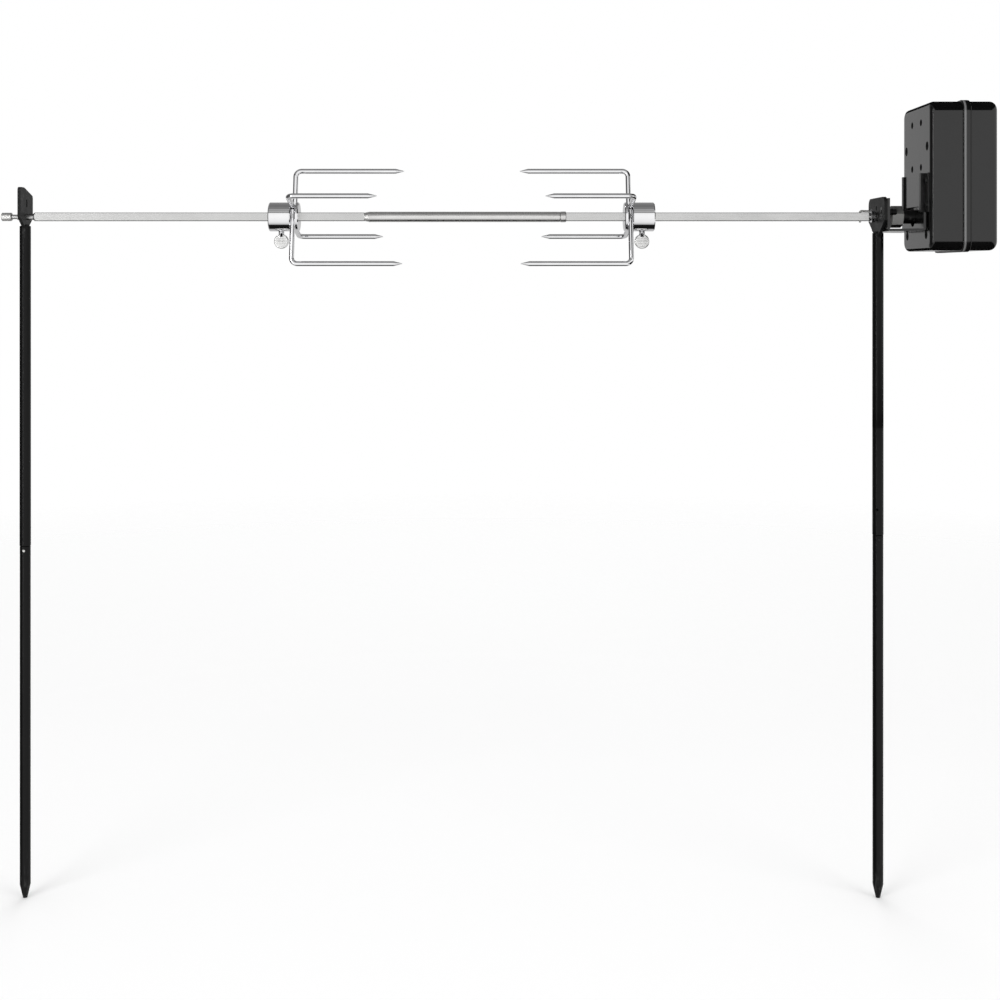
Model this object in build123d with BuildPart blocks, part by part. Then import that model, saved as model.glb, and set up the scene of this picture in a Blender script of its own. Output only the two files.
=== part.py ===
"""Open-fire rotisserie: two ground stakes, a turning spit with two forks, and a battery drive.

X runs along the spit from the left stake to the right stake, +Y away from the cook, +Z up.
The origin is on the left stake's axis at the ground line. Every length is in millimetres.
"""

import math
import os

from build123d import *

os.makedirs("parts", exist_ok=True)

# ---- Driving dimensions ------------------------------------------------------------------
STAKE_SPAN = 810.0            # between the two stakes' axes
AXIS_Z = 496.0                # height of the spit's axis above the ground
TIP_DEPTH = 150.0             # how far each stake goes into the ground

STAKE_R = 5.0                 # lower stake section
STAKE_TOP_R = 5.2             # upper stake section
TIP_R = 2.1
TIP_LENGTH = 12.5
SPIGOT_R = 3.6                # neck of the upper section, inside the lower one
SPIGOT_LENGTH = 30.0
PLATE_SLOT_DEPTH = 12.0       # how deep a support plate stands in its stake
LEFT_JOINT_Z = 183.5          # where each stake's two sections meet
RIGHT_JOINT_Z = 194.0
LEFT_TOP_Z = AXIS_Z - 8.5     # tops of the two stakes
RIGHT_TOP_Z = AXIS_Z - 15.0
KEYWAY_DEPTH = 1.4            # groove in the neck that the joint screw slides in
JOINT_GAP = 0.3               # between the two sections when pushed home
JOINT_SCREW_DROP = 4.0        # screw axis below the joint
JOINT_SCREW_R = 1.3
JOINT_SCREW_SUNK = 0.1        # its outer end, below the stake's surface
SPARE_HOLE_Z = 218.5          # blind hole in the right stake's upper section

PLATE_T = 3.0                 # support plates
BAR = 8.0                     # square spit bar, across the flats
LEFT_JOURNAL_R = 3.0
STUD_R = 2.2
RIGHT_JOURNAL_R = 4.0
TAIL = 5.6                    # square driven end, across the flats
RUN_GAP = 0.05                # radial clearance of every running fit
SLIDE_GAP = 0.1               # clearance on each side of the sliding square bores

BAR_START_X = 14.0
SLEEVE_X = (322.5, 508.0)
SLEEVE_R = 4.9
RING_X = (508.0, 513.7)
BAR_SPIGOT_R = 3.0
RIGHT_JOURNAL_X = (800.5, 815.5)
TAIL_END_X = 845.0
PIN_X = 793.0
PIN_R = 1.0

FORK_MIRROR_X = 414.6         # the two forks mirror each other about this plane
HUB_X = 232.0                 # outer end of the left fork's hub
HUB_LENGTH = 21.0
HUB_R = 13.75
PRONG_R = 2.4
PRONG_CIRCLE_R = 47.9
PRONG_TILT = 21.5             # long prongs lean this far from vertical, in degrees
PRONG_OFFSET = 7.8            # each prong's root passes the bar at this distance
PRONG_BEND_R = 5.5
LONG_PRONG = 104.0
SHORT_PRONG = 82.0
PRONG_POINT = 8.0
WELD_BITE = 0.4               # how far welded pieces sink into each other
END_PLATE_T = 3.5
THUMB_X = 11.4                # thumb screw, from the hub's outer end
THUMB_R = 2.95
PADDLE_R = 7.0
PADDLE_Z = -23.3              # paddle centre below the spit's axis

FACE_X = 846.7                # front face of the drive housing
BACK_X = 909.3
HOUSING_W = 90.0
HOUSING_Z = (-32.5, 105.3)    # from the spit's axis
HOUSING_CORNER = 9.0
WALL = 2.2
FRONT_EDGE_R = 4.8
BACK_EDGE_R = 6.5
SEAM_X = (879.3, 880.7)
BEAD_X = (876.0, 884.0)
BEAD_GROOVE_X = (882.3, 883.2)
BEAD_PROUD = 1.4

SHEET = 2.3                   # bent motor bracket
FLANGE_X = 811.5
TONGUE_X = 843.0
FLOOR_Z = -14.3

GEAR_MODULE = 1.0
OUTPUT_TEETH = 44
WHEEL_TEETH = 36
PINION_TEETH = 12
COMPOUND_AT = (22.6, 16.5)    # compound gear's axis: Y, and Z from the spit's axis
MESH_WHEEL = GEAR_MODULE * (WHEEL_TEETH + PINION_TEETH) / 2
MOTOR_AT = (COMPOUND_AT[0] - MESH_WHEEL, COMPOUND_AT[1])
OUTPUT_GEAR_X = (852.2, 858.2)
WHEEL_X = (859.5, 864.5)
GEAR_PLATE_X = (866.0, 868.0)

CELL_R = 16.15
CELL_X = 876.7
CELL_Z = (54.25, 86.65)       # the two cells' axes, from the spit's axis
TRAY_X = (857.6, 896.0)
TRAY_Z = (36.6, 101.0)
TRAY_HALF_W = 38.0

COVER_HALF_W = 35.5
COVER_Z = (37.3, 97.4)        # lower and upper edges, from the spit's axis
COVER_GAP = 0.4
COVER_BAR_R = 2.2             # full-round hinge edge
HINGE_X = BACK_X - COVER_BAR_R

SWITCH_X = 892.9
SWITCH_PIVOT_Y = 45.2
ROCKER_TILT = 9.0


def up(z):
    """Height above the ground of a point given from the spit's axis."""
    return AXIS_Z + z


def across(y, z):
    """A point of a plane square to the spit."""
    return (y, AXIS_Z + z)


def square_to_spit(x):
    """Sketch plane square to the spit, whose local axes are Y and Z."""
    return Plane.YZ.offset(x)


def save(part, name):
    part.label = name
    export_step(part, f"parts/{name}.step")


# ---- Stakes ------------------------------------------------------------------------------
def lower_section(name, stake_x, joint_z):
    """Pointed lower stake section with a socket for the upper section's neck."""
    with BuildPart() as stake:
        with BuildSketch(Plane.XZ):
            with BuildLine():
                Polyline(
                    (stake_x, -TIP_DEPTH),
                    (stake_x + TIP_R, -TIP_DEPTH),
                    (stake_x + STAKE_R, -TIP_DEPTH + TIP_LENGTH),
                    (stake_x + STAKE_R, joint_z - JOINT_GAP),
                    (stake_x, joint_z - JOINT_GAP),
                    close=True,
                )
            make_face()
        revolve(axis=Axis((stake_x, 0, 0), (0, 0, 1)))
        with BuildSketch(Plane.XY.offset(joint_z)):
            with Locations((stake_x, 0)):
                Circle(SPIGOT_R + RUN_GAP)
        extrude(amount=-(SPIGOT_LENGTH + 1), mode=Mode.SUBTRACT)
        with BuildSketch(Plane.XZ.offset(STAKE_R)):
            with Locations((stake_x, joint_z - JOINT_SCREW_DROP)):
                Circle(JOINT_SCREW_R + RUN_GAP)
        extrude(amount=-STAKE_R, mode=Mode.SUBTRACT)
    save(stake.part, name)


def upper_section(name, stake_x, joint_z, top_z, spare_hole_z=None):
    """Upper stake section: slotted for its plate at the top, necked at the bottom."""
    with BuildPart() as stake:
        with BuildSketch(Plane.XY.offset(joint_z)):
            with Locations((stake_x, 0)):
                Circle(STAKE_TOP_R)
        extrude(amount=top_z - joint_z)
        chamfer(stake.edges().group_by(Axis.Z)[-1], 0.6)
        chamfer(stake.edges().group_by(Axis.Z)[0], 0.5)
        with BuildSketch(Plane.XY.offset(joint_z - SPIGOT_LENGTH)):
            with Locations((stake_x, 0)):
                Circle(SPIGOT_R)
        extrude(amount=SPIGOT_LENGTH)
        with BuildSketch(Plane.XY.offset(top_z)):
            with Locations((stake_x, 0)):
                Rectangle(PLATE_T, 3 * STAKE_TOP_R)
        extrude(amount=-PLATE_SLOT_DEPTH, mode=Mode.SUBTRACT)
        keyway_l = SPIGOT_LENGTH - JOINT_SCREW_DROP + 2
        with BuildSketch(Plane.XZ.offset(SPIGOT_R)):
            with Locations((stake_x, joint_z - JOINT_SCREW_DROP)):
                Circle(JOINT_SCREW_R + 0.6)
            with Locations((stake_x, joint_z - JOINT_SCREW_DROP - keyway_l / 2)):
                Rectangle(2 * (JOINT_SCREW_R + 0.6), keyway_l)
        extrude(amount=-KEYWAY_DEPTH, mode=Mode.SUBTRACT)
        if spare_hole_z is not None:
            with BuildSketch(Plane.XZ.offset(STAKE_TOP_R)):
                with Locations((stake_x - 2.0, spare_hole_z)):
                    Circle(1.2)
            extrude(amount=-3.5, mode=Mode.SUBTRACT)
    save(stake.part, name)


def joint_screw(name, stake_x, joint_z):
    """Grub screw that holds a stake's two sections together, pointing at the cook."""
    length = STAKE_R - SPIGOT_R + 0.5
    with BuildPart() as screw:
        with BuildSketch(Plane.XZ.offset(STAKE_R - JOINT_SCREW_SUNK)):
            with Locations((stake_x, joint_z - JOINT_SCREW_DROP)):
                Circle(JOINT_SCREW_R)
        extrude(amount=-length)
        chamfer(screw.faces().sort_by(Axis.Y)[0].edges(), 0.25)
        with BuildSketch(Plane.XZ.offset(STAKE_R - JOINT_SCREW_SUNK)):
            with Locations((stake_x, joint_z - JOINT_SCREW_DROP)):
                RegularPolygon(0.6, 6)
        extrude(amount=-0.9, mode=Mode.SUBTRACT)
    save(screw.part, name)


lower_section("left_stake_bottom", 0.0, LEFT_JOINT_Z)
lower_section("right_stake_bottom", STAKE_SPAN, RIGHT_JOINT_Z)
upper_section("left_stake_top", 0.0, LEFT_JOINT_Z, LEFT_TOP_Z)
upper_section("right_stake_top", STAKE_SPAN, RIGHT_JOINT_Z, RIGHT_TOP_Z, SPARE_HOLE_Z)
joint_screw("left_joint_screw", 0.0, LEFT_JOINT_Z)
joint_screw("right_joint_screw", STAKE_SPAN, RIGHT_JOINT_Z)

# ---- Support plates ----------------------------------------------------------------------
LEFT_PLATE_HALF_W = 19.0
RIGHT_PLATE_HALF_W = 28.0
TONGUE_HALF_W = 4.6
BOLT_AT = ((-18.0, 4.0), (18.0, 4.0))
BOLT_R = 3.0
BOLT_HEAD_T = 2.0             # countersunk heads, flush with the plate

with BuildPart() as left_plate:
    tongue_low = LEFT_TOP_Z - PLATE_SLOT_DEPTH - AXIS_Z
    with BuildSketch(square_to_spit(-PLATE_T / 2)):
        with BuildLine():
            Polyline(
                across(-LEFT_PLATE_HALF_W, 27.5),
                across(-7.5, 27.5),
                across(LEFT_PLATE_HALF_W, 20.5),
                across(LEFT_PLATE_HALF_W, -1.0),
                across(TONGUE_HALF_W, -10.5),
                across(TONGUE_HALF_W, tongue_low),
                across(-TONGUE_HALF_W, tongue_low),
                across(-TONGUE_HALF_W, -10.5),
                across(-LEFT_PLATE_HALF_W, -1.0),
                close=True,
            )
        face = make_face()
        upper = face.vertices().filter_by(lambda v: v.Y > up(-5))
        fillet(upper, 3.0)
        with Locations(across(0, 12.8)):
            SlotOverall(7.6, 3.6, rotation=90, mode=Mode.SUBTRACT)
        with Locations(across(0, 0)):
            Circle(LEFT_JOURNAL_R + RUN_GAP, mode=Mode.SUBTRACT)
    extrude(amount=PLATE_T)
save(left_plate.part, "left_support_plate")

with BuildPart() as right_plate:
    tongue_low = RIGHT_TOP_Z - PLATE_SLOT_DEPTH - AXIS_Z
    with BuildSketch(square_to_spit(STAKE_SPAN - PLATE_T / 2)):
        with BuildLine():
            Polyline(
                across(-RIGHT_PLATE_HALF_W, 18.0),
                across(RIGHT_PLATE_HALF_W, 18.0),
                across(RIGHT_PLATE_HALF_W, -4.0),
                across(TONGUE_HALF_W, -19.0),
                across(TONGUE_HALF_W, tongue_low),
                across(-TONGUE_HALF_W, tongue_low),
                across(-TONGUE_HALF_W, -19.0),
                across(-RIGHT_PLATE_HALF_W, -4.0),
                close=True,
            )
        face = make_face()
        fillet(face.vertices().filter_by(lambda v: v.Y > up(10)), 7.0)
        fillet(
            face.vertices().filter_by(lambda v: up(-10) < v.Y < up(0)),
            16.0,
        )
        with Locations(across(0, 8.2)):
            Rectangle(3.4, 4.0, mode=Mode.SUBTRACT)
        with Locations(across(0, 0)):
            Circle(RIGHT_JOURNAL_R + RUN_GAP, mode=Mode.SUBTRACT)
        with Locations(*[across(y, z) for y, z in BOLT_AT]):
            Circle(BOLT_R, mode=Mode.SUBTRACT)
    extrude(amount=PLATE_T)
    with BuildSketch(square_to_spit(STAKE_SPAN - PLATE_T / 2)):
        with Locations(*[across(y, z) for y, z in BOLT_AT]):
            Circle(BOLT_R + BOLT_HEAD_T)
    extrude(amount=BOLT_HEAD_T, taper=45, mode=Mode.SUBTRACT)
save(right_plate.part, "right_support_plate")

WELD_R = 1.4
WELD_HALF_L = 3.8
with BuildPart() as welds:
    for stake_x, top_z in ((0.0, LEFT_TOP_Z), (STAKE_SPAN, RIGHT_TOP_Z)):
        for side in (-1, 1):
            with BuildSketch(Plane.XZ.offset(-WELD_HALF_L)):
                with Locations((stake_x + side * (PLATE_T / 2 + 0.3), top_z)):
                    Circle(WELD_R)
            extrude(amount=2 * WELD_HALF_L)
    chamfer(welds.edges().filter_by(GeomType.CIRCLE), 0.7)
save(welds.part, "plate_welds")

# ---- Spit --------------------------------------------------------------------------------
with BuildPart() as left_bar:
    with BuildSketch(square_to_spit(8.0)):
        with Locations(across(0, 0)):
            Rectangle(BAR, BAR)
    extrude(amount=SLEEVE_X[0] - 8.0)
    chamfer(left_bar.edges().filter_by(Axis.X), 0.5)
    with BuildSketch(Plane.XZ):
        with BuildLine():
            Polyline(
                (8.0, AXIS_Z),
                (8.0, up(LEFT_JOURNAL_R)),
                (BAR_START_X, up(BAR)),
                (SLEEVE_X[0] - 2.0, up(BAR)),
                (SLEEVE_X[0], up(SLEEVE_R - 0.6)),
                (SLEEVE_X[0], AXIS_Z),
                close=True,
            )
        make_face()
    revolve(axis=Axis((0, 0, AXIS_Z), (1, 0, 0)), mode=Mode.INTERSECT)
    with BuildSketch(square_to_spit(-7.0)):
        with Locations(across(0, 0)):
            Circle(LEFT_JOURNAL_R)
    extrude(amount=15.0)
    with BuildSketch(square_to_spit(-20.0)):
        with Locations(across(0, 0)):
            Circle(STUD_R)
    extrude(amount=13.0)
    with BuildSketch(square_to_spit(SLEEVE_X[0])):
        with Locations(across(0, 0)):
            Circle(BAR_SPIGOT_R)
    extrude(amount=25.0)
save(left_bar.part, "spit_left_bar")

with BuildPart() as sleeve:
    with BuildSketch(square_to_spit(SLEEVE_X[0])):
        with Locations(across(0, 0)):
            Circle(SLEEVE_R)
    extrude(amount=SLEEVE_X[1] - SLEEVE_X[0])
    chamfer(sleeve.faces().sort_by(Axis.X)[0].edges(), length=4.4, length2=0.9)
    chamfer(sleeve.faces().sort_by(Axis.X)[-1].edges(), 0.4)
    with BuildSketch(square_to_spit(SLEEVE_X[0])):
        with Locations(across(0, 0)):
            Circle(BAR_SPIGOT_R)
    extrude(amount=26.0, mode=Mode.SUBTRACT)
    with BuildSketch(square_to_spit(SLEEVE_X[1])):
        with Locations(across(0, 0)):
            Circle(BAR_SPIGOT_R)
    extrude(amount=-26.0, mode=Mode.SUBTRACT)
save(sleeve.part, "spit_sleeve")

with BuildPart() as lock_ring:
    with BuildSketch(square_to_spit(RING_X[0])):
        with Locations(across(0, 0)):
            Circle(SLEEVE_R + 0.2)
            Circle(BAR_SPIGOT_R, mode=Mode.SUBTRACT)
    extrude(amount=RING_X[1] - RING_X[0])
    outer = lock_ring.edges().filter_by(GeomType.CIRCLE).sort_by(SortBy.RADIUS)[-2:]
    chamfer(outer, 0.6)
save(lock_ring.part, "sleeve_lock_ring")

with BuildPart() as right_bar:
    with BuildSketch(square_to_spit(RING_X[1])):
        with Locations(across(0, 0)):
            Rectangle(BAR, BAR)
    extrude(amount=RIGHT_JOURNAL_X[0] - RING_X[1])
    chamfer(right_bar.edges().filter_by(Axis.X), 0.5)
    with BuildSketch(square_to_spit(RING_X[1] - 30.0)):
        with Locations(across(0, 0)):
            Circle(BAR_SPIGOT_R)
    extrude(amount=30.0)
    with BuildSketch(square_to_spit(RIGHT_JOURNAL_X[0])):
        with Locations(across(0, 0)):
            Circle(RIGHT_JOURNAL_R)
    extrude(amount=RIGHT_JOURNAL_X[1] - RIGHT_JOURNAL_X[0])
    with BuildSketch(square_to_spit(RIGHT_JOURNAL_X[1])):
        with Locations(across(0, 0)):
            Rectangle(TAIL, TAIL)
    extrude(amount=TAIL_END_X - RIGHT_JOURNAL_X[1])
    with BuildSketch(Plane.XY.offset(up(-BAR))):
        with Locations((PIN_X, 0)):
            Circle(PIN_R + RUN_GAP)
    extrude(amount=2 * BAR, mode=Mode.SUBTRACT)
save(right_bar.part, "spit_right_bar")

NUT_X = (-22.0, -12.5)
NUT_R = 4.0
with BuildPart() as end_nut:
    with BuildSketch(square_to_spit(NUT_X[0])):
        with Locations(across(0, 0)):
            Circle(NUT_R)
    extrude(amount=NUT_X[1] - NUT_X[0])
    chamfer(end_nut.edges().filter_by(GeomType.CIRCLE), 0.6)
    with BuildSketch(square_to_spit(NUT_X[1])):
        with Locations(across(0, 0)):
            Circle(STUD_R + RUN_GAP)
    extrude(amount=-8.0, mode=Mode.SUBTRACT)
save(end_nut.part, "end_nut")

COLLAR_X = (802.5, 807.5)
COLLAR_R = 5.6
with BuildPart() as stop_collar:
    with BuildSketch(square_to_spit(COLLAR_X[0])):
        with Locations(across(0, 0)):
            Circle(COLLAR_R)
    extrude(amount=COLLAR_X[1] - COLLAR_X[0])
    chamfer(stop_collar.edges().filter_by(GeomType.CIRCLE), 0.9)
    with BuildSketch(square_to_spit(COLLAR_X[0])):
        with Locations(across(0, 0)):
            Circle(RIGHT_JOURNAL_R)
    extrude(amount=COLLAR_X[1] - COLLAR_X[0], mode=Mode.SUBTRACT)
save(stop_collar.part, "stop_collar")

with BuildPart() as retaining_pin:
    with BuildLine():
        pin_line = FilletPolyline(
            (PIN_X, 0, up(-5.4)),
            (PIN_X, 0, up(5.6)),
            (PIN_X + 8.8, 0, up(5.4)),
            radius=1.5,
        )
    with BuildSketch(Plane(origin=pin_line @ 0, z_dir=pin_line % 0)):
        Circle(PIN_R)
    sweep()
save(retaining_pin.part, "retaining_pin")

DRIVE_COLLAR_X = (821.5, 832.0)
with BuildPart() as drive_collar:
    with BuildSketch(square_to_spit(DRIVE_COLLAR_X[0])):
        with Locations(across(0, 0)):
            RegularPolygon(10.7, 6, rotation=-14.6)
            Rectangle(TAIL, TAIL, mode=Mode.SUBTRACT)
    extrude(amount=DRIVE_COLLAR_X[1] - DRIVE_COLLAR_X[0])
save(drive_collar.part, "drive_collar")

# ---- Forks -------------------------------------------------------------------------------
def radial(angle, radius):
    """Y and Z offsets of a point at this angle from +Y, seen along the spit."""
    turn = math.radians(angle)
    return Vector(0, radius * math.cos(turn), radius * math.sin(turn))


def prong(root_x, inward, angle, length):
    """One bent prong: its root passes beside the bar, its point runs along the spit."""
    lean = math.degrees(math.asin(PRONG_OFFSET / PRONG_CIRCLE_R))
    leg_angle = angle + lean
    leg_length = PRONG_CIRCLE_R * math.cos(math.radians(lean))
    centre = Vector(root_x, 0, AXIS_Z)
    beside_bar = centre - radial(leg_angle + 90, PRONG_OFFSET)
    start = beside_bar - radial(leg_angle, 4.8)
    corner = beside_bar + radial(leg_angle, leg_length)
    along = Vector(inward, 0, 0)
    cone_start = corner + along * (length - PRONG_POINT)
    with BuildPart() as piece:
        with BuildLine():
            line = FilletPolyline(start, corner, cone_start, radius=PRONG_BEND_R)
        with BuildSketch(Plane(origin=line @ 0, z_dir=line % 0)):
            Circle(PRONG_R)
        sweep()
        with BuildSketch(Plane(origin=cone_start, z_dir=along)):
            Circle(PRONG_R)
        with BuildSketch(Plane(origin=cone_start + along * PRONG_POINT, z_dir=along)):
            Circle(0.3)
        loft()
    return piece.part


def prong_pair(name, root_x, inward, angle, length):
    """Two prongs on opposite sides of the bar."""
    pair = Compound(children=[prong(root_x, inward, angle + turn, length) for turn in (0, 180)])
    save(pair, name)


def fork(side, hub_x, inward):
    """A whole fork. inward is +1 when its prongs point along +X."""
    inner_x = hub_x + inward * HUB_LENGTH
    root_x = inner_x + inward * (PRONG_R - WELD_BITE)
    cover_x = root_x + inward * (PRONG_R - WELD_BITE)
    thumb_x = hub_x + inward * THUMB_X
    bore = BAR + 2 * SLIDE_GAP

    with BuildPart() as hub:
        with BuildSketch(square_to_spit(hub_x)):
            with Locations(across(0, 0)):
                Circle(HUB_R)
        extrude(amount=inward * HUB_LENGTH)
        chamfer(hub.edges().filter_by(GeomType.CIRCLE), 0.8)
        with BuildSketch(square_to_spit(hub_x)):
            with Locations(across(0, 0)):
                Rectangle(bore, bore)
        extrude(amount=inward * HUB_LENGTH, mode=Mode.SUBTRACT)
        with BuildSketch(Plane.XY.offset(AXIS_Z)):
            with Locations((thumb_x, 0)):
                Circle(THUMB_R + RUN_GAP)
        extrude(amount=-2 * HUB_R, mode=Mode.SUBTRACT)
    save(hub.part, f"{side}_fork_hub")

    prong_pair(f"{side}_long_prongs", root_x, inward, 90 - PRONG_TILT, LONG_PRONG)
    prong_pair(f"{side}_short_prongs", root_x, inward, 180 - PRONG_TILT, SHORT_PRONG)

    with BuildPart() as end_plate:
        with BuildSketch(square_to_spit(cover_x)):
            with Locations(across(0, 0)):
                Circle(HUB_R)
        extrude(amount=inward * END_PLATE_T)
        chamfer(end_plate.edges().filter_by(GeomType.CIRCLE), 0.8)
        with BuildSketch(square_to_spit(cover_x)):
            with Locations(across(0, 0)):
                Rectangle(bore, bore)
        extrude(amount=inward * END_PLATE_T, mode=Mode.SUBTRACT)
    save(end_plate.part, f"{side}_fork_end_plate")

    with BuildPart() as thumb:
        with BuildSketch(Plane.XY.offset(up(-BAR / 2 - 0.4))):
            with Locations((thumb_x, 0)):
                Circle(THUMB_R)
        extrude(amount=PADDLE_Z + BAR / 2 + 0.4)
        with BuildSketch(Plane.XZ.offset(-2.2)):
            with Locations((thumb_x, up(PADDLE_Z))):
                Circle(PADDLE_R)
        extrude(amount=4.4)
        paddle_rim = thumb.edges().filter_by(GeomType.CIRCLE).sort_by(SortBy.RADIUS)[-2:]
        chamfer(paddle_rim, 0.9)
    save(thumb.part, f"{side}_thumb_screw")


fork("left", HUB_X, 1)
fork("right", 2 * FORK_MIRROR_X - HUB_X, -1)

# ---- Motor bracket -----------------------------------------------------------------------
SLOT_HALF_W = 7.0
SLOT_LOW_Z = -2.5             # centre of the slot's round bottom
WINDOW_Z = (3.0, 9.2)
WINDOW_HALF_W = 25.5
TONGUE_TOP_Z = 39.5
UPPER_TONGUE_HALF_W = 28.3
LOWER_TONGUE_HALF_W = 35.0
FLANGE_TOP_Z = 16.5

with BuildPart() as bracket:
    with BuildSketch(Plane.XZ):
        with BuildLine():
            Polyline(
                (FLANGE_X, up(FLANGE_TOP_Z)),
                (FLANGE_X, up(FLOOR_Z)),
                (TONGUE_X + SHEET, up(FLOOR_Z)),
                (TONGUE_X + SHEET, up(TONGUE_TOP_Z)),
                (TONGUE_X, up(TONGUE_TOP_Z)),
                (TONGUE_X, up(FLOOR_Z + SHEET)),
                (FLANGE_X + SHEET, up(FLOOR_Z + SHEET)),
                (FLANGE_X + SHEET, up(FLANGE_TOP_Z)),
                close=True,
            )
        face = make_face()
        fillet(face.vertices().filter_by(lambda v: abs(v.Y - up(FLOOR_Z)) < 0.1), 3.0)
        fillet(face.vertices().filter_by(lambda v: abs(v.Y - up(FLOOR_Z + SHEET)) < 0.1), 0.7)
    extrude(amount=LOWER_TONGUE_HALF_W, both=True)
    with BuildSketch(Plane.XY.offset(up(-40))):
        for side in (-1, 1):
            with BuildLine():
                Polyline(
                    (FLANGE_X - 5, side * RIGHT_PLATE_HALF_W),
                    (FLANGE_X + 8, side * RIGHT_PLATE_HALF_W),
                    (TONGUE_X - 6, side * LOWER_TONGUE_HALF_W),
                    (TONGUE_X - 6, side * 45),
                    (FLANGE_X - 5, side * 45),
                    close=True,
                )
            make_face()
    extrude(amount=100, mode=Mode.SUBTRACT)
    with BuildSketch(square_to_spit(TONGUE_X - 2)):
        for side in (-1, 1):
            with Locations(across(side * (UPPER_TONGUE_HALF_W + 10), WINDOW_Z[0] + 25)):
                Rectangle(20, 50)
        with Locations(across(0, sum(WINDOW_Z) / 2)):
            Rectangle(2 * WINDOW_HALF_W, WINDOW_Z[1] - WINDOW_Z[0])
        with Locations(across(0, (SLOT_LOW_Z + WINDOW_Z[0]) / 2 + 0.2)):
            Rectangle(2 * SLOT_HALF_W, WINDOW_Z[0] - SLOT_LOW_Z + 0.4)
        with Locations(across(0, SLOT_LOW_Z)):
            Circle(SLOT_HALF_W)
    extrude(amount=8, mode=Mode.SUBTRACT)
    with BuildSketch(square_to_spit(FLANGE_X)):
        with Locations(across(0, 0)):
            Circle(RIGHT_JOURNAL_R + 0.6)
        with Locations(*[across(y, z) for y, z in BOLT_AT]):
            Circle(BOLT_R)
    extrude(amount=SHEET, mode=Mode.SUBTRACT)
save(bracket.part, "motor_bracket")

BOLT_HEAD_X = STAKE_SPAN - PLATE_T / 2
BOLT_TIP_X = 822.5
with BuildPart() as bolts:
    for y, z in BOLT_AT:
        with BuildSketch(square_to_spit(BOLT_HEAD_X)):
            with Locations(across(y, z)):
                Circle(BOLT_R)
        extrude(amount=BOLT_TIP_X - BOLT_HEAD_X)
    chamfer(bolts.faces().group_by(Axis.X)[-1].edges(), 0.7)
    for y, z in BOLT_AT:
        with BuildSketch(square_to_spit(BOLT_HEAD_X)):
            with Locations(across(y, z)):
                Circle(BOLT_R + BOLT_HEAD_T)
        extrude(amount=BOLT_HEAD_T, taper=45)
    for y, z in BOLT_AT:
        with BuildSketch(square_to_spit(BOLT_HEAD_X)):
            with Locations(across(y, z)):
                RegularPolygon(2.3, 6)
        extrude(amount=2.0, mode=Mode.SUBTRACT)
save(bolts.part, "bracket_bolts")

# ---- Guide rails on the housing ----------------------------------------------------------
RAIL_T = 1.2
LIP_X = 841.4
RAIL_Z = (3.2, 39.5)
RIVET_AT = [(side * 36.2, z) for side in (-1, 1) for z in (10.0, 32.5)]
RIVET_R = 1.25
with BuildPart() as rails:
    for side in (-1, 1):
        with BuildSketch(Plane.XY.offset(up(RAIL_Z[0]))):
            with BuildLine():
                Polyline(
                    (LIP_X, side * 25.4),
                    (LIP_X, side * 30.4),
                    (FACE_X - RAIL_T, side * 30.4),
                    (FACE_X - RAIL_T, side * 39.8),
                    (FACE_X, side * 39.8),
                    (FACE_X, side * 29.2),
                    (LIP_X + RAIL_T, side * 29.2),
                    (LIP_X + RAIL_T, side * 25.4),
                    close=True,
                )
            make_face()
        extrude(amount=RAIL_Z[1] - RAIL_Z[0])
    with BuildSketch(square_to_spit(FACE_X)):
        with Locations(*[across(y, z) for y, z in RIVET_AT]):
            Circle(RIVET_R)
    extrude(amount=-RAIL_T, mode=Mode.SUBTRACT)
save(rails.part, "guide_rails")

with BuildPart() as rivets:
    for y, z in RIVET_AT:
        with BuildSketch(square_to_spit(FACE_X - RAIL_T - 1.1)):
            with Locations(across(y, z)):
                Circle(2.4)
        extrude(amount=1.1)
    fillet(rivets.faces().group_by(Axis.X)[0].edges(), 0.9)
    for y, z in RIVET_AT:
        with BuildSketch(square_to_spit(FACE_X - RAIL_T)):
            with Locations(across(y, z)):
                Circle(RIVET_R)
        extrude(amount=RAIL_T + WALL)
save(rivets.part, "rail_rivets")

# ---- Drive housing -----------------------------------------------------------------------
HOUSING_MID_Z = sum(HOUSING_Z) / 2
HOUSING_H = HOUSING_Z[1] - HOUSING_Z[0]
LOW_SCREWS = [(side * 30.0, -17.6) for side in (-1, 1)]
TRAY_SCREWS = [(side * 33.0, 64.5) for side in (-1, 1)]
SPARE_HOLES = [(side * 14.0, z) for side in (-1, 1) for z in (46.0, 88.0)]
SPARE_HOLE_R = 3.2
SCREW_R = 1.5
SCREW_HEAD_R = 3.5
SCREW_RECESS = (4.2, 1.5)     # radius and depth
BUSH_R = 8.5
SOCKET_R = 6.5
INNER_FACE_X = FACE_X + WALL


def housing_outline(x, grow=0.0):
    """Rounded outline of the housing, larger by grow on every side."""
    with BuildSketch(square_to_spit(x)) as outline:
        with Locations(across(0, HOUSING_MID_Z)):
            RectangleRounded(
                HOUSING_W + 2 * grow,
                HOUSING_H + 2 * grow,
                HOUSING_CORNER + grow,
            )
    return outline.sketch


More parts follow.
